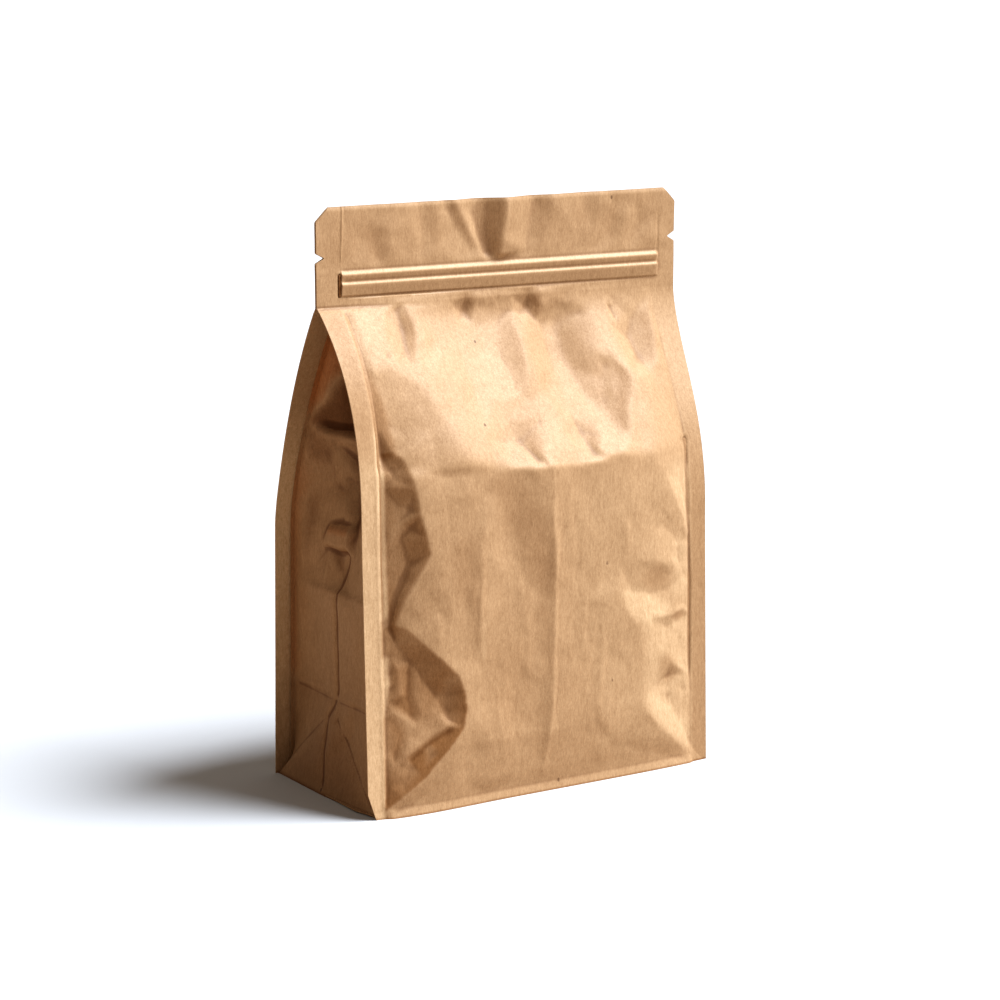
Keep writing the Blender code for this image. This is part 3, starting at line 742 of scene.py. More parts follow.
# The back has the front's kinds of fold in other places. Its shoulder is the mirror image, stretched
# down to its lower break, and its wall is the front's turned through half a turn.
# Both are seen from the front: x runs the same way.
backFolds = [
    ([(1, 91), (0.4, 70), (-0.6, 46), (0.2, 20), (1.6, 4)], 0.5, 4.5, 1.3, 0.2, (0.2, 0.15)),
    ([(27, 84), (26.2, 66), (27.2, 50)], 0.4, 4.5, 1.4, 0.3, (0.3, 0.4)),
    ([(-20, 74), (-19, 58), (-20.5, 38)], 0.35, 4.0, 1.4, 0.4, (0.3, 0.4)),
    ([(-57.3, 150), (-57.3, 60), (-57.3, 4)], 0.3, 0.8, 0.7, 0.2, (0.01, 0.01)),
    ([(57.3, 150), (57.3, 60), (57.3, 4)], 0.3, 0.7, 0.8, 0.2, (0.01, 0.01)),
    ([(-55.6, 110), (-55.6, 60), (-55.8, 26)], -0.6, 1.6, 0.8, 0.2, (0.1, 0.1)),
    ([(55.6, 110), (55.6, 60), (55.8, 26)], -0.6, 0.8, 1.6, 0.2, (0.1, 0.1)),
]
backShades = [
    (0.18, 1.8, [(3, 90), (16, 90), (9, 70), (2, 60)]),
]


def shoulderOfBack(x, z):
    return -x, 154 - (154 - z) * 0.82


def wallOfBack(x, z):
    return -x, 104 - 1.14 * z


def backWall(z):
    return between(z, 2.5, 10, 84, 91)


def backShoulder(z):
    return smoothStep(z, 84, 92)


def backRelief():
    wall = readGrid(wallRelief(), frontU, frontV, *wallOfBack(frontU, frontV))
    shoulder = readGrid(shoulderRelief(), frontU, frontV, *shoulderOfBack(frontU, frontV))
    shape = blur(foldHeights(backFolds, frontU, frontV), 0.8)
    shape += 0.85 * backWall(frontV) * wall + 0.8 * backShoulder(frontV) * shoulder
    pressed = pressedPaper(frontU, frontV, [(0.3, 9.0, 34, 2.0), (0.12, 5.0, 35, 1.0)], (0.4, 14, 36, 2.0))
    return shape + baseLip() + filledArea(53) * pressed


# Sheets of paper from rows and columns of points. Each kind has its thickness, and the share of the faces
# that is kept on the side that nobody sees.
paperKinds = {"sheet": (0.34, 0.1), "gusset": (0.3, 0.25), "base": (0.3, 0.3)}
# how far apart the points of the meshes lie
spacing = {
    "rim": 0.35, "wall": 0.58, "foot": 0.4, "zip": 0.25, "top": 0.45,
    "gusset": 0.7, "neck": 0.8, "base": 0.9,
}


def evenly(low, high, step):
    return np.linspace(low, high, max(int(round((high - low) / step)), 1) + 1)


def joined(*runs):
    return np.concatenate([runs[0]] + [run[1:] for run in runs[1:]])


def paperSheet(name, x, y, z, wearAndShade, tone, kind):
    thickness, innerShare = paperKinds[kind]
    rows, columns = x.shape
    deselectAll()
    bpy.ops.mesh.primitive_grid_add(x_subdivisions=columns - 1, y_subdivisions=rows - 1, size=2)
    piece = bpy.context.object
    piece.name = piece.data.name = name
    count = len(piece.data.vertices)
    flat = np.empty(count * 3, np.float32)
    piece.data.vertices.foreach_get("co", flat)
    i = np.rint((flat[0::3] + 1) / 2 * (columns - 1)).astype(int)
    k = np.rint((flat[1::3] + 1) / 2 * (rows - 1)).astype(int)
    places = np.stack([x[k, i], y[k, i], z[k, i]], 1) * mm
    piece.data.vertices.foreach_set("co", places.astype(np.float32).ravel())
    # first: rubbed ridges and painted crease shade; second: painted shade, or painted light where under 0
    for label, values in (("foldWearAndShade", wearAndShade), ("paintedShade", tone)):
        field = piece.data.attributes.new(label, "FLOAT", "POINT")
        field.data.foreach_set("value", values[k, i].astype(np.float32))
    piece.data.update()
    skin = piece.modifiers.new("skin", "SOLIDIFY")
    skin.thickness = thickness * mm
    skin.offset = -1
    bpy.ops.object.modifier_apply(modifier="skin")
    inside = piece.vertex_groups.new(name="inside")
    away = (i > 1) & (i < columns - 2) & (k > 1) & (k < rows - 2)
    inside.add([int(v) for v in np.nonzero(away)[0] + count], 1.0, "REPLACE")
    thin = piece.modifiers.new("thin", "DECIMATE")
    thin.ratio = 0.5 + 0.5 * innerShare
    thin.vertex_group = "inside"
    bpy.ops.object.modifier_apply(modifier="thin")
    piece.vertex_groups.clear()
    bpy.ops.object.shade_smooth_by_angle(angle=math.radians(50))
    return piece


def panelGrid(front):
    # columns run from -1 to 1 across the filled paper and, past that, by shares of the corner seal
    half, rim = bag["sealX"], 3.8
    wall = evenly(rim - half, half - rim, spacing["wall"])
    filled = joined(evenly(-half, rim - half, spacing["rim"]), wall, evenly(half - rim, half, spacing["rim"]))
    seal = [evenly(0, 0.16, 0.022), evenly(0.16, 0.4, 0.05), evenly(0.4, 0.94, 0.1), evenly(0.94, 1, 0.06)]
    seal = joined(*seal)
    upright = [(0, 4, "foot"), (4, 150, "wall"), (150, 164.4, "zip"), (164.4, 169.2, "zip"),
               (169.2, bag["height"], "top")]
    rows = joined(*(evenly(low, high, spacing[part]) for low, high, part in upright))[:, None]
    left, right = sealEdge(rows, front, -1), sealEdge(rows, front, 1)
    x = np.concatenate([
        mix(left, sheetEdge(rows, front, -1), seal[None, :0:-1]),
        mix(left, right, (filled[None] / half + 1) / 2),
        mix(right, sheetEdge(rows, front, 1), seal[None, 1:]),
    ], 1)
    ends = np.full(len(seal) - 1, half)
    return x, rows + 0 * x, np.concatenate([-ends, filled, ends])[None]


def panelDepth(x, z, across, front, relief):
    onSeal = 1 - 0.75 * smoothStep(np.abs(x), 57.2, 59.5) * smoothStep(z, 94, 106)
    depth = sealDepth(x, z, front) + bag["sheet"] + smoothBulge(across, z, front)
    depth = depth + readGrid(relief, frontU, frontV, x, z) * (1 - smoothStep(z, 152.5, 155)) * onSeal
    if front:
        return depth + headerWarp(x, z) + zipRelief(x, z) + seamRelief(x, z)
    return depth - headerWarp(x, z) + 0.7 * zipRelief(x, z)


def panelWearAndShade(x, z, front, relief):
    cell = 0.5
    U, V = reliefGrid(-66, 66, 0, 183, cell)
    form = sealDepth(U, V, front) + smoothBulge(U, V, front)
    form = form + readGrid(relief, frontU, frontV, U, V) * (1 - smoothStep(V, 152.5, 155))
    form = form + (1 if front else -1) * headerWarp(U, V) + zipRelief(U, V)
    return readGrid(wearAndCreaseShadeOf(form, cell), U, V, x, z)


def panelTone(x, z, front):
    # painted shade and painted light over the sheet
    U, V = reliefGrid(-66, 66, 0, 184, 0.35)
    if front:
        tone = readGrid(shadeOf(headerShades + shoulderShades + wallShades, U, V), U, V, x, z)
        tone = tone + readGrid(dentShadeGrid(), frontU, frontV, x, z) * (z < 115)
    else:
        shoulder = readGrid(shadeOf(shoulderShades, U, V), U, V, *shoulderOfBack(x, z))
        dentShade = readGrid(blur(dentShadeGrid(), 1.5), frontU, frontV, *wallOfBack(x, z))
        tone = readGrid(shadeOf(backShades, U, V), U, V, x, z)
        tone = tone + shoulder * backShoulder(z) + 0.4 * dentShade * backWall(z)
    # a highlight is painted along the ribs of the zip
    lowRib, highRib = (between(z, *heights) for heights in zipBand["ribHighlightZ"])
    tone = tone - 0.36 * (lowRib + 1.2 * highRib) * (np.abs(x) < 57.5)
    # painted shade down the slit at the left end of the zip
    tone = np.clip(tone + 2.5 * zipSlit(x, z), -1, 1)
    # it stands on a cut edge that lies in its own shade
    tone = tone + 0.9 * (1 - smoothStep(z, 0.15, 0.75))
    # painted light on the left seals, and painted shade on the right ones
    onSeal = smoothStep(np.abs(x), 57.0, 57.6) * (1 - smoothStep(z, 96, 124))
    tone = tone - onSeal * np.where(x < 0, 0.5 if front else 1.0, -0.2)
    # the back's left seal is painted darker towards its foot
    if not front:
        tone = tone + 0.9 * smoothStep(-x, 56.6, 57.4) * (1 - smoothStep(z, 0, 70))
    return tone


def sheetPanel(name, front, relief):
    x, z, across = panelGrid(front)
    depth = panelDepth(x, z, across, front, relief)
    wearAndShade, tone = panelWearAndShade(x, z, front, relief), panelTone(x, z, front)
    z = headerTilt(x, z)
    if not front:
        x, z, depth, wearAndShade, tone = (part[:, ::-1] for part in (x, z, depth, wearAndShade, tone))
    return paperSheet(name, x, -depth if front else depth, z, wearAndShade, tone, "sheet")


# The gussets. Places on them are (y, z), and heights say how far the paper moves outwards.
gusset = {
    "foldZ": bag["baseDepth"] / 2,  # the crease across it, where the base folds up against it
    "paper": 27.95,  # half the width of its paper
    "flare": 5.6,  # how far it kicks out below its crease
    "top": 152.0,
}
gussetU, gussetV = reliefGrid(-34, 34, -1, 156, 0.5)

leftFacets = {
    # a deep fold where it narrows towards the neck
    "u": [(16.8, 116.4, 0.4), (12, 119.4, 0.9), (7.5, 123.4, 1.5), (4, 128.6, 1.9), (-3, 134, 1.5)],
    "d": [(15, 114.5, -0.6), (10.8, 113.0, -3.0), (4.6, 111.8, -4.4), (-5, 110.6, -4.2)],
    "e": [(15.8, 113.4, 0.7), (11, 111.4, 1.5), (4.5, 109.9, 2.0), (-5, 108.6, 1.6)],
    "s": [(18, 106, -0.3), (12.4, 104.6, -0.3), (9.4, 107.4, 0.6), (8.8, 98, 0.8), (4.6, 101, 0.9),
          (10.6, 94.6, 0.0), (4.6, 93.6, 0.1)],
    # an arched fold, and a tab half way up
    "a": [(15, 86.4, 0.4), (11.6, 89.6, 0.8), (8.4, 91, 1.1), (4.4, 89.4, 1.2), (2.4, 86, 1.1),
          (22, 74, 0.2)],
    "k": [(9, 81.4, 2.2), (4, 82, 2.8), (-1, 81.8, 2.5)],
    "j": [(9.6, 83.4, 0.3), (4, 84.2, 0.4), (-1.2, 84, 0.2)],
    "l": [(9.4, 76.9, 1.7), (4.4, 76.3, 2.2), (-0.4, 76.7, 1.9)],
    "q": [(9.8, 75.6, -0.3), (4.4, 75.0, -1.0), (-0.2, 75.6, -0.7), (1.6, 67, -1.1)],
    "v": [(4.2, 103, -1.3), (2.0, 96, -1.5), (-0.6, 88.5, -1.7), (-6, 92, -0.4), (-4.6, 82, -0.8),
          (-5, 74, 0.1)],
    # soft hollows at the back and front
    "f": [(21, 88, -0.3), (18, 68, -0.3), (24, 42, -0.4), (13, 76, 0.7), (9, 60, 0.5), (-14, 60, 0.5),
          (-20, 80, 0.4), (-15, 40, 0.3), (12, 38, 0.4), (-18, 104, 0.2), (26, 66, 0.3)],
    "z": [(-34, 156, 0), (0, 156, 0), (34, 156, 0), (34, 120, 0), (34, 60, 0), (34, 28, 0), (0, 28, 0),
          (-34, 28, 0), (-34, 60, 0), (-34, 110, 0), (-6, 143, 0.6), (10, 138, 0.4), (-34, -1, 0),
          (34, -1, 0)],
}
leftFacetFolds = [
    "u1-5", "d1-4", "e1-4", "s6-7", "s3-4", "a1-5", "k1-3", "j1-3", "l1-3", "q1-3", "k1 l1", "k3 l3",
    "q1 q4", "q3-4", "v1-3",
]
leftFolds = [
    ([(-0.6, 76), (1.5, 66.6), (0.8, 60), (0, 45), (0.5, 31)], -1.2, 1.5, 1.7, 0.0, (0.1, 0.0)),
    ([(0.5, 30), (4, 24), (3.4, 14), (1.5, 1)], -0.8, 1.3, 1.3, 0.0, (0.05, 0.1)),
    ([(-29, 31.2), (0, 30.8), (29, 31.2)], 0.3, 1.6, 1.4, 0.2, (0.02, 0.02)),
    ([(-29, 29.6), (0, 29.2), (29, 29.6)], -0.3, 0.9, 0.9, 0.1, (0.02, 0.02)),
    ([(0, 28), (15, 15), (29.5, 2)], -0.4, 1.0, 1.0, 0.1, (0.05, 0.05)),
    ([(-1, 25), (-13, 13), (-26, 1.6)], -0.4, 1.0, 1.0, 0.1, (0.05, 0.05)),
]
# on a gusset, a tone under 0 is the warm light that only comes from other paper
leftShades = [
    (0.72, 0.8, [(16.6, 114.8), (12, 118.2), (7.5, 122.2), (4, 127.6), (0, 132), (-4, 130.4), (-9, 125),
            (-14, 118), (-17.6, 112), (-10, 109.8), (-4, 109.6), (4.5, 110.8), (11, 112.2)]),
    (-0.9, 1.2, [(34, 160), (-34, 160), (-34, 113), (-18, 113), (-14, 119), (-9, 126), (-4, 131.4),
            (0, 133), (4, 129), (8, 124), (12, 120), (16.4, 116), (34, 116)]),
    (-0.5, 2.0, [(34, 116), (22, 116), (21, 60), (26, 34), (34, 30)]),
    (0.40, 1.0, [(17.6, 112.4), (11, 110.2), (10.6, 103.4), (13.6, 101), (18.6, 101.6)]),
    (0.55, 1.2, [(3.8, 108), (3.8, 103), (1.6, 96), (-0.8, 88.5), (-2, 83), (-1.8, 77), (-4.4, 77),
            (-7, 84), (-7.6, 92), (-4, 102)]),
    (0.25, 0.8, [(9.6, 96.4), (4, 95.4), (4.4, 92), (9.6, 93.4)]),
    (0.50, 0.6, [(9.9, 75.9), (4.4, 75.5), (1.6, 67.6), (4.4, 69.6)]),
    (-0.5, 0.5, [(9.2, 83), (-0.8, 82.8), (-0.8, 80.8), (9.2, 80.4)]),
    (0.40, 1.4, [(19, 93), (16, 85), (20.4, 70), (24, 42), (27, 36), (26.4, 70), (25, 88)]),
    (0.12, 1.4, [(-32, 29.6), (32, 29.6), (32, 26), (0, 28), (-32, 26)]),
    (0.25, 2.5, [(0, 26), (26, 1), (-24, 1)]),
    (0.12, 4.0, [(-34, 34), (34, 34), (34, -1), (-34, -1)]),
]

# the right gusset is a plainer one
rightFacets = {
    "u": [(20, 116, 1.2), (6, 121, 2.4), (-9, 119, 2.0)],
    "d": [(16, 113, -1.2), (4, 115.4, -3.6), (-9, 113.4, -2.4)],
    "e": [(15, 109, 0.8), (3, 109.4, 1.6), (-11, 106.6, 1.0)],
    "k": [(-14, 98, 0.8), (-3, 95, 1.1), (6, 92, 0.7)],
    "l": [(-13, 95.4, -0.2), (-2, 92.2, -0.3), (6, 89.6, -0.1)],
    "f": [(-18, 84, -0.8), (-12, 58, -1.0), (-20, 42, -0.4), (10, 70, 0.5), (14, 46, -0.7), (-6, 74, 0.4),
          (20, 88, 0.3)],
    "z": [(-34, 156, 0), (0, 156, 0), (34, 156, 0), (34, 120, 0), (34, 60, 0), (34, 28, 0), (0, 28, 0),
          (-34, 28, 0), (-34, 60, 0), (-34, 110, 0), (0, 138, 0.6), (-34, -1, 0), (34, -1, 0)],
}
rightFacetFolds = ["u1-3", "d1-3", "e1-3", "k1-3", "l1-3", "f1-3"]
rightFolds = [
    ([(6, 86), (1.2, 66), (0, 46), (0, 31)], -0.6, 1.2, 1.3, 0.0, (0.2, 0.0)),
    ([(0, 30), (-3, 22), (-2.4, 12), (-1, 1)], -0.45, 1.0, 1.0, 0.0, (0.05, 0.1)),
    ([(-29, 31.2), (0, 30.8), (29, 31.2)], 0.22, 1.6, 1.4, 0.2, (0.02, 0.02)),
    ([(-29, 29.6), (0, 29.2), (29, 29.6)], -0.22, 0.9, 0.9, 0.1, (0.02, 0.02)),
    ([(0, 28), (15, 15), (29.5, 2)], -0.25, 0.9, 0.9, 0.1, (0.05, 0.05)),
    ([(0, 28), (-15, 15), (-29.5, 2)], -0.25, 0.9, 0.9, 0.1, (0.05, 0.05)),
    ([(18, 100), (15, 84), (19, 60)], -0.3, 5.0, 2.0, 0.4, (0.4, 0.4)),
]
rightShades = [
    (0.9, 0.9, [(17, 113.6), (12, 117.6), (4, 120), (-6, 118.4), (-13, 113), (-8, 110.8), (4, 111.6)]),
    (-0.8, 2.0, [(34, 160), (-34, 160), (-34, 116), (-14, 116), (-6, 120.4), (5, 123), (20, 117),
            (34, 114)]),
    (-0.5, 2.0, [(-34, 116), (-22, 116), (-21, 60), (-26, 34), (-34, 30)]),
    (0.20, 1.4, [(-13, 96), (-2, 93), (6, 90), (0, 84), (-8, 86)]),
    (0.22, 2.0, [(-22, 88), (-14, 60), (-18, 44), (-28, 46), (-28, 76)]),
    (0.12, 1.4, [(-32, 29.6), (32, 29.6), (32, 26), (0, 28), (-32, 26)]),
    (0.25, 2.5, [(0, 26), (26, 1), (-26, 1)]),
]

gussets = {
    "gussetLeft": {"end": -1, "facets": leftFacets, "paths": leftFacetFolds, "folds": leftFolds,
                   "shades": leftShades, "seed": 61},
    "gussetRight": {"end": 1, "facets": rightFacets, "paths": rightFacetFolds, "folds": rightFolds,
                    "shades": rightShades, "seed": 71},
}


def innerDepth(end, z, front):
    return sealDepth(np.full_like(z, end * bag["sealX"]), z, front)


def gussetX(end, through, z):
    edge = np.where(through < 0, sealEdge(z, True, end), sealEdge(z, False, end))
    opening = (innerDepth(end, z, True) + innerDepth(end, z, False)) / 2
    foldedIn = np.sqrt(np.maximum(gusset["paper"] ** 2 - opening**2, 0))
    above = edge - end * foldedIn * (1 - np.abs(through))
    spread = clamp01(1 - z / gusset["foldZ"])
    middle = end * (bag["sealX"] + gusset["flare"] * spread)
    corner = np.where(through < 0, sealEdge(0, True, end), sealEdge(0, False, end))
    slant = mix(end * bag["sealX"], corner, spread)
    share = np.abs(through)
    inner = mix(middle, slant, share / np.maximum(spread, 1e-6))
    outer = mix(slant, edge, (share - spread) / np.maximum(1 - spread, 1e-6))
    return np.where(z > gusset["foldZ"], above, np.where(share <= spread, inner, outer))


def gussetRelief(side):
    shape = blur(facetHeights(namedPoints(side["facets"]), side["paths"], gussetU, gussetV), 1.3)
    shape += blur(foldHeights(side["folds"], gussetU, gussetV), 0.7)
    free = smoothStep(34 - abs(gussetU), 4, 9) * smoothStep(gussetV, 2, 9)
    seed = side["seed"]
    facets = [(0.5, 13.0, seed, 2.0), (0.14, 5.0, seed + 1, 1.0)]
    return shape + free * pressedPaper(gussetU, gussetV, facets, (0.4, 12, seed + 2, 2.0))


def gussetSheet(name, side):
    end, clearance = side["end"], 0.3
    upright = [(0, 60, "gusset"), (60, 140, "gusset"), (140, gusset["top"], "neck")]
    rows = joined(*(evenly(low, high, spacing[part]) for low, high, part in upright))
    panel, seal = evenly(-1, 1, 0.019), evenly(0, 1, 0.14)
    ends = np.ones(len(seal) - 1)
    through = np.tile(np.concatenate([-ends, panel, ends]), (len(rows), 1))
    share = np.tile(np.concatenate([seal[:0:-1], 0 * panel, seal[1:]]), (len(rows), 1))
    z = rows[:, None] + 0 * through
    frontY, backY = clearance - innerDepth(end, z, True), innerDepth(end, z, False) - clearance
    y = mix(frontY, backY, (through + 1) / 2)
    # just inside the seals it keeps clear of the dents of the outer sheets
    beside = between(1 - np.abs(through), 0, 0.02, 0.25, 0.5) * between(z, 98, 107, 142, 150)
    y = y - np.sign(through) * 2.0 * beside
    # the folds fade towards the corner seals, and where the gusset narrows at the neck
    relief = gussetRelief(side)
    still = 1 - smoothStep(np.abs(through), 0.86, 0.985)
    out = readGrid(relief, gussetU, gussetV, y, z) * still * (1 - smoothStep(z, 138, 150))
    x = gussetX(end, through, z) + end * out
    edge = np.where(through < 0, sheetEdge(z, True, end), sheetEdge(z, False, end)) - end * 0.15
    x = mix(x, edge, share * np.where(through > 0, 0.2, 1.0))
    y = np.where((share > 0) & (through < 0), clearance - sealDepth(x, z, True), y)
    y = np.where((share > 0) & (through > 0), sealDepth(x, z, False) - clearance, y)
    wearAndShade = readGrid(wearAndCreaseShadeOf(relief, 0.5), gussetU, gussetV, y, z) * still
    tone = readGrid(shadeOf(side["shades"], gussetU, gussetV), gussetU, gussetV, y, z)
    # the painted tone fades out over the front seal, and painted shade runs along the gusset's foot
    tone = tone * (1 - smoothStep(-through, 0.9, 0.96)) + 0.7 * (1 - smoothStep(z, 0.2, 1.0))
    if end < 0:
        x, y, z, wearAndShade, tone = (part[:, ::-1] for part in (x, y, z, wearAndShade, tone))
    return paperSheet(name, x, y, z, wearAndShade, tone, "gusset")


base = {"halfWidth": 61.6, "halfDepth": 29.5, "bow": 0.036, "tuck": 2.4, "lift": 0.35}
baseFolds = [
    ([(end * 61, -29), (end * 32, 0), (end * 61, 29)], 0.14, 1.4, 1.4, 0.3, (0.0, 0.0)) for end in (-1, 1)
]


def baseSheet():
    halfX, halfY = base["halfWidth"], base["halfDepth"]
    x, y = np.meshgrid(evenly(-halfX, halfX, spacing["base"]), evenly(-halfY, halfY, spacing["base"]))
    # corners follow the seals: the front left one is tucked in
    x = np.where((x < 0) & (y < 0), x + base["tuck"] * clamp01(-x / halfX) * clamp01((-y - 20) / 9.5), x)
    y = y * (1 + base["bow"] * (1 - clamp01(np.abs(x) / 56) ** 4))
    cell = 0.6
    U, V = reliefGrid(-63, 63, -31, 31, cell)
    creases = foldHeights(baseFolds, U, V)
    z = base["lift"] + 0.1 * slowWaves(x, y, 18, 51, 1.0) - readGrid(creases, U, V, x, y)
    wearAndShade = readGrid(wearAndCreaseShadeOf(creases, cell), U, V, x, y)
    # seen from below, so the columns run from right to left
    x, y, z, wearAndShade = (part[:, ::-1] for part in (x, y, z, wearAndShade))
    return paperSheet("basePanel", x, y, z, wearAndShade, 0 * z, "base")


# Finishes
def plug(tree, value, socket):
    if isinstance(value, bpy.types.NodeSocket):
        tree.links.new(value, socket)
    else:
        socket.default_value = value


def group(name, inputs, outputs):
    # inputs and outputs: name of a socket, its kind and what it holds when nothing is plugged in
    made = bpy.data.node_groups.new(name, "ShaderNodeTree")
    for kind, sockets in (("INPUT", inputs), ("OUTPUT", outputs)):
        for label, (socket, value) in sockets.items():
            item = made.interface.new_socket(label, in_out=kind, socket_type="NodeSocket" + socket)
            if value is not None:
                item.default_value = value
    return made, made.nodes.new("NodeGroupInput").outputs, made.nodes.new("NodeGroupOutput").inputs


def node(tree, kind, inputs=None, **settings):
    made = tree.nodes.new("ShaderNode" + kind)
    for key, value in settings.items():
        setattr(made, key, value)
    for key, value in (inputs or {}).items():
        plug(tree, value, made.inputs[key])
    return made


def maths(tree, operation, *values):
    made = node(tree, "Math", operation=operation)
    for socket, value in zip(made.inputs, values):
        plug(tree, value, socket)
    return made.outputs[0]


def ramped(tree, value, low, high, outLow=0.0, outHigh=1.0, kind="SMOOTHSTEP"):
    limits = {"Value": value, "From Min": low, "From Max": high, "To Min": outLow, "To Max": outHigh}
    return node(tree, "MapRange", limits, interpolation_type=kind).outputs["Result"]


def blended(tree, share, first, second, way="MIX"):
    made = node(tree, "Mix", {"Factor": share}, data_type="RGBA", blend_type=way)
    plug(tree, first, made.inputs[6])
    plug(tree, second, made.inputs[7])
    return made.outputs[2]


# Long fibres run up the paper. Each noise has its scale per metre of Object coordinates, its scale upwards
# for that sideways, detail, roughness and shift. Its share is what it adds to the tone.
fibreNoise = {
    "streak": (2500, 0.28, 3.0, 0.7, 0.0), "longer": (900, 0.26, 4.0, 0.65, 0.31),
    "cloud": (70, 0.6, 4.0, 0.6, 0.77), "grain": (3600, 0.6, 2.0, 0.6, 1.3),
    "fleck": (1900, 0.4, 1.0, 0.5, 2.1),
}
fibreShare = {"streak": 0.95, "longer": 0.60, "cloud": 0.32, "grain": 0.45}


def fibreField(tree, vector, kind):
    scale, squash, detail, roughness, shift = fibreNoise[kind]
    placing = {"Vector": vector, "Scale": (1, 1, squash), "Location": (shift, shift, shift)}
    place = node(tree, "Mapping", placing).outputs[0]
    noise = {"Vector": place, "Scale": scale, "Detail": detail, "Roughness": roughness}
    return node(tree, "TexNoise", noise).outputs["Fac"]


def kraftFibreGroup():
    made, ins, outs = group(
        "kraftFibres", {"Vector": ("Vector", None), "Streaks": ("Float", 1.0), "Specks": ("Float", 1.0)},
        {label: ("Float", None) for label in ("Tone", "Fleck", "Speck", "Height")})
    field = {kind: fibreField(made, ins["Vector"], kind) for kind in fibreNoise}
    tone = None
    for kind, share in fibreShare.items():
        part = maths(made, "MULTIPLY", maths(made, "SUBTRACT", field[kind], 0.5), share)
        tone = part if tone is None else maths(made, "ADD", tone, part)
    plug(made, maths(made, "MULTIPLY", tone, ins["Streaks"]), outs["Tone"])
    plug(made, ramped(made, field["fleck"], 0.665, 0.74), outs["Fleck"])
    # a few dark specks: dots, where a slow noise lets them through
    spread = node(made, "Mapping", {"Vector": ins["Vector"], "Scale": (1, 1, 0.7)}).outputs[0]
    dots = node(made, "TexVoronoi", {"Vector": spread, "Scale": 95.0, "Randomness": 1.0}, feature="F1")
    rare = node(made, "TexNoise", {"Vector": spread, "Scale": 120.0, "Detail": 0.0}).outputs["Fac"]
    dot = ramped(made, dots.outputs["Distance"], 0.030, 0.055, 1.0, 0.0)
    speck = maths(made, "MULTIPLY", dot, ramped(made, rare, 0.55, 0.62))
    plug(made, maths(made, "MULTIPLY", speck, ins["Specks"]), outs["Speck"])
    coarse = maths(made, "MULTIPLY", field["streak"], 0.6)
    fine = maths(made, "MULTIPLY", field["grain"], 0.4)
    plug(made, maths(made, "ADD", coarse, fine), outs["Height"])
    return made


def foldShadeGroup():
    colours = ("Color", "Ridge Color", "Crease Shade Color", "Painted Shade Tint", "Painted Light Tint")
    sockets = {label: ("Float", 0.0) for label in ("Wear And Shade", "Painted Shade", "Ridge", "Crease Shade")}
    sockets.update({label: ("Color", (0.5, 0.5, 0.5, 1)) for label in colours})
    made, ins, outs = group("foldShade", sockets, {"Color": ("Color", None), "Sheen": ("Float", None)})
    # rubbed ridges turn paler, and painted shade darkens the valleys of the folds
    high = maths(made, "MULTIPLY", ramped(made, ins["Wear And Shade"], 0.12, 0.9), ins["Ridge"])
    low = maths(made, "MULTIPLY", ramped(made, ins["Wear And Shade"], -0.12, -0.9), ins["Crease Shade"])
    colour = blended(made, high, ins["Color"], ins["Ridge Color"])
    colour = blended(made, low, colour, ins["Crease Shade Color"])
    # painted shade makes the paper darker and richer, and painted light makes it paler
    down = maths(made, "MAXIMUM", ins["Painted Shade"], 0.0)
    flat = maths(made, "MAXIMUM", maths(made, "MULTIPLY", ins["Painted Shade"], -1.0), 0.0)
    colour = blended(made, down, colour, ins["Painted Shade Tint"], "MULTIPLY")
    colour = blended(made, flat, colour, ins["Painted Light Tint"], "MULTIPLY")
    plug(made, colour, outs["Color"])
    # where shade is painted the sheen is turned down as well
    plug(made, maths(made, "SUBTRACT", 1.0, maths(made, "MULTIPLY", down, 0.9)), outs["Sheen"])
    return made


def kraftPaper(name, look, fibres, shade):
    paper = bpy.data.materials.new(name)
    paper.use_nodes = True
    tree = paper.node_tree
    shader = tree.nodes["Principled BSDF"].inputs
    place = node(tree, "TexCoord").outputs["Object"]
    shares = {"Vector": place, "Streaks": look["streaks"], "Specks": look["specks"]}
    fibre = node(tree, "Group", shares, node_tree=fibres).outputs
    tone = ramped(tree, fibre["Tone"], -0.25, 0.25, kind="LINEAR")
    colour = blended(tree, tone, look["dark"], look["light"])
    colour = blended(tree, maths(tree, "MULTIPLY", fibre["Fleck"], look["flecks"]), colour, look["fleck"])
    colour = blended(tree, fibre["Speck"], colour, look["speck"])
    folds = {
        "Wear And Shade": node(tree, "Attribute", attribute_name="foldWearAndShade").outputs["Fac"],
        "Painted Shade": node(tree, "Attribute", attribute_name="paintedShade").outputs["Fac"],
        "Color": colour, "Ridge Color": look["ridge"], "Crease Shade Color": look["creaseShade"],
        "Ridge": look["ridgeShare"], "Crease Shade": look["creaseShadeShare"],
        "Painted Shade Tint": look["paintedShade"], "Painted Light Tint": look["paintedLight"],
    }
    shaded = node(tree, "Group", folds, node_tree=shade).outputs
    rough = ramped(tree, fibre["Tone"], -0.25, 0.25, *look["rough"], kind="LINEAR")
    bump = node(tree, "Bump", {"Height": fibre["Height"], "Strength": look["bump"], "Distance": 0.0001})
    plug(tree, shaded["Color"], shader["Base Color"])
    plug(tree, rough, shader["Roughness"])
    plug(tree, bump.outputs["Normal"], shader["Normal"])
    plug(tree, maths(tree, "MULTIPLY", shaded["Sheen"], look["gloss"]), shader["Specular IOR Level"])
    shader["Metallic"].default_value = 0.0
    return paper


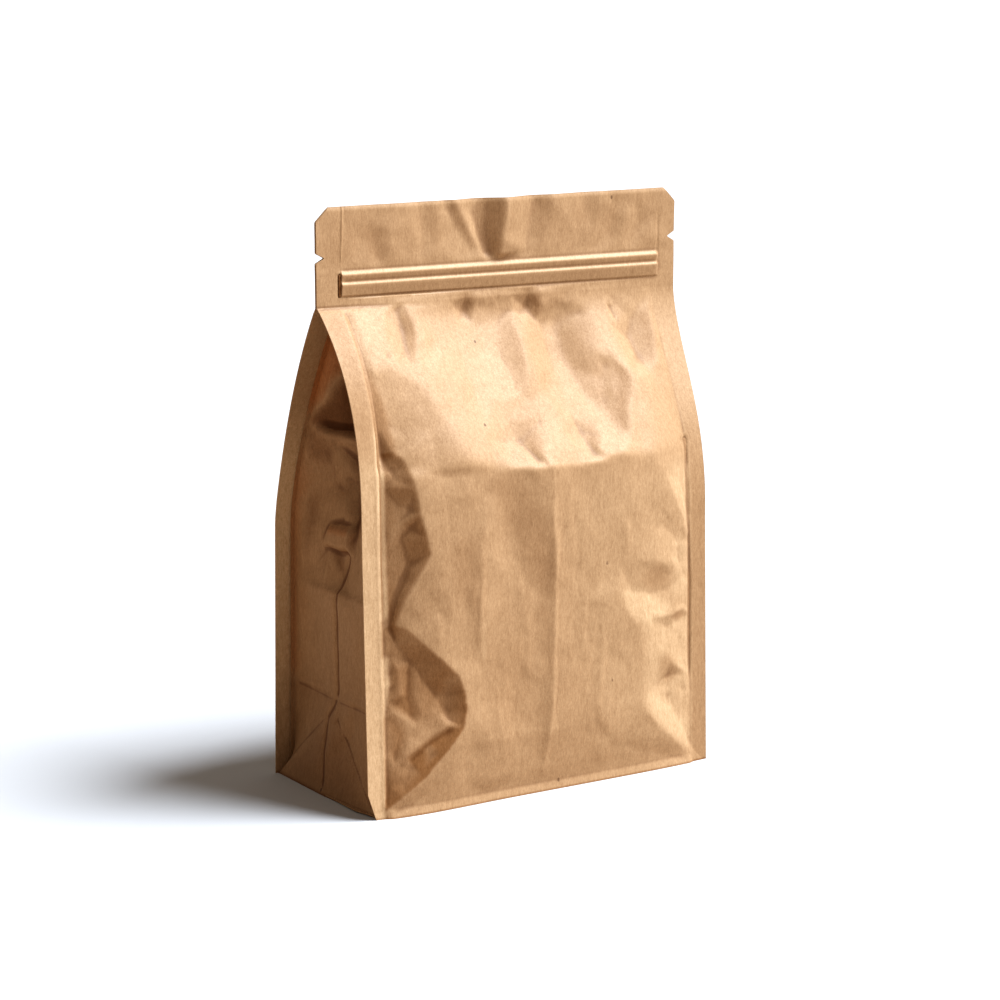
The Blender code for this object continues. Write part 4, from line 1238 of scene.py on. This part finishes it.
kraft = {
    "dark": (0.276, 0.176, 0.097, 1), "light": (0.430, 0.298, 0.183, 1),
    "fleck": (0.58, 0.42, 0.27, 1), "flecks": 0.16, "speck": (0.08, 0.04, 0.02, 1),
    # rubbed ridges are paler; the valley colour is painted shade down in the creases
    "ridge": (0.56, 0.40, 0.26, 1), "creaseShade": (0.13, 0.058, 0.024, 1),
    "ridgeShare": 0.16, "creaseShadeShare": 0.45,
    # tints for the painted shade and the painted light
    "paintedShade": (0.56, 0.44, 0.33, 1), "paintedLight": (1.5, 1.68, 1.85, 1),
    "streaks": 0.85, "specks": 0.7, "rough": (0.62, 0.50), "bump": 0.5, "gloss": 0.3,
}
# painted shade: a darker, richer copy of the kraft for the gussets and base, which lie out of the key light
kraftShadedSide = dict(
    kraft, dark=(0.240, 0.143, 0.073, 1), light=(0.378, 0.238, 0.134, 1), ridge=(0.42, 0.28, 0.17, 1),
    creaseShadeShare=0.8, paintedShade=(0.34, 0.21, 0.13, 1), paintedLight=(1.0, 0.68, 0.44, 1), gloss=0.25)


# Camera, floor and light
view = {"place": (-0.4083, -0.6478, 0.2261), "turn": -32.394, "rise": 10.314, "lens": 88.909, "sensor": 36}
studio = {
    "keyFrom": (0.45, -0.37, 0.81), "keyPower": 7.4, "keyAngle": 34,
    "sky": (1.0, 0.82, 0.65, 1), "skyPower": 0.34, "look": "Medium High Contrast",
    "floorSeen": (0.45, 0.485, 0.535, 1), "floorBounce": (0.41, 0.325, 0.25, 1),
}


def makeCamera():
    lens = bpy.data.cameras.new("camera")
    lens.lens = view["lens"]
    lens.sensor_width = view["sensor"]
    lens.clip_start = 0.01
    camera = bpy.data.objects.new("camera", lens)
    bpy.context.scene.collection.objects.link(camera)
    turn, rise = math.radians(view["turn"]), math.radians(view["rise"])
    back = Vector((math.sin(turn) * math.cos(rise), -math.cos(turn) * math.cos(rise), math.sin(rise)))
    right = Vector((0, 0, 1)).cross(back).normalized()
    axes = Matrix((right, back.cross(right), back)).transposed().to_4x4()
    camera.matrix_world = Matrix.Translation(view["place"]) @ axes
    bpy.context.scene.camera = camera
    print("camera placed")


def makeFloor():
    deselectAll()
    bpy.ops.mesh.primitive_plane_add(size=40, location=(0, 0, lowBody.z))
    floor = bpy.context.object
    floor.name = "floor"
    bpy.ops.object.transform_apply(location=True)
    white = bpy.data.materials.new("paleFloor")
    white.use_nodes = True
    tree = white.node_tree
    shader = tree.nodes["Principled BSDF"].inputs
    # the floor reads as white, while the light that it throws back on the paper is dimmer and warmer
    seen = node(tree, "LightPath").outputs["Is Camera Ray"]
    plug(tree, blended(tree, seen, studio["floorBounce"], studio["floorSeen"]), shader["Base Color"])
    shader["Roughness"].default_value = 1.0
    shader["Specular IOR Level"].default_value = 0.0
    floor.data.materials.append(white)


def makeLight():
    scene = bpy.context.scene
    key = bpy.data.lights.new("key", "SUN")
    key.energy = studio["keyPower"]
    key.angle = math.radians(studio["keyAngle"])
    keyLight = bpy.data.objects.new("key", key)
    scene.collection.objects.link(keyLight)
    keyLight.rotation_euler = Vector(studio["keyFrom"]).to_track_quat("Z", "Y").to_euler()
    world = bpy.data.worlds.new("studio")
    scene.world = world
    world.use_nodes = True
    tree = world.node_tree
    sky = tree.nodes["Background"]
    sky.inputs["Color"].default_value = studio["sky"]
    sky.inputs["Strength"].default_value = studio["skyPower"]
    backdrop = node(tree, "Background", {"Color": (1, 1, 1, 1), "Strength": 1.0})
    both = node(tree, "MixShader")
    seen = node(tree, "LightPath").outputs["Is Camera Ray"]
    for socket, value in zip(both.inputs, (seen, sky.outputs[0], backdrop.outputs[0])):
        plug(tree, value, socket)
    plug(tree, both.outputs[0], tree.nodes["World Output"].inputs["Surface"])
    scene.view_settings.view_transform = "Standard"
    scene.view_settings.look = studio["look"]
    print("floor and light made")


def finishPiece(piece, cadNode, paper):
    piece.data.materials.clear()
    piece.data.materials.append(paper)
    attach(piece, "root")
    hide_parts(cadNode)
    print(piece.name, len(piece.data.polygons), "faces")


def main():
    makeCamera()
    makeFloor()
    makeLight()
    fibres, shade = kraftFibreGroup(), foldShadeGroup()
    outer = kraftPaper("kraftPaper", kraft, fibres, shade)
    # the shaded copy of the kraft
    side = kraftPaper("kraftShadedSidePaper", kraftShadedSide, fibres, shade)
    finishPiece(sheetPanel("frontPanel", True, frontRelief()), "front_sheet", outer)
    finishPiece(sheetPanel("backPanel", False, backRelief()), "back_sheet", outer)
    for name, parts in gussets.items():
        finishPiece(gussetSheet(name, parts), "body", side)
    finishPiece(baseSheet(), "body", side)


main()
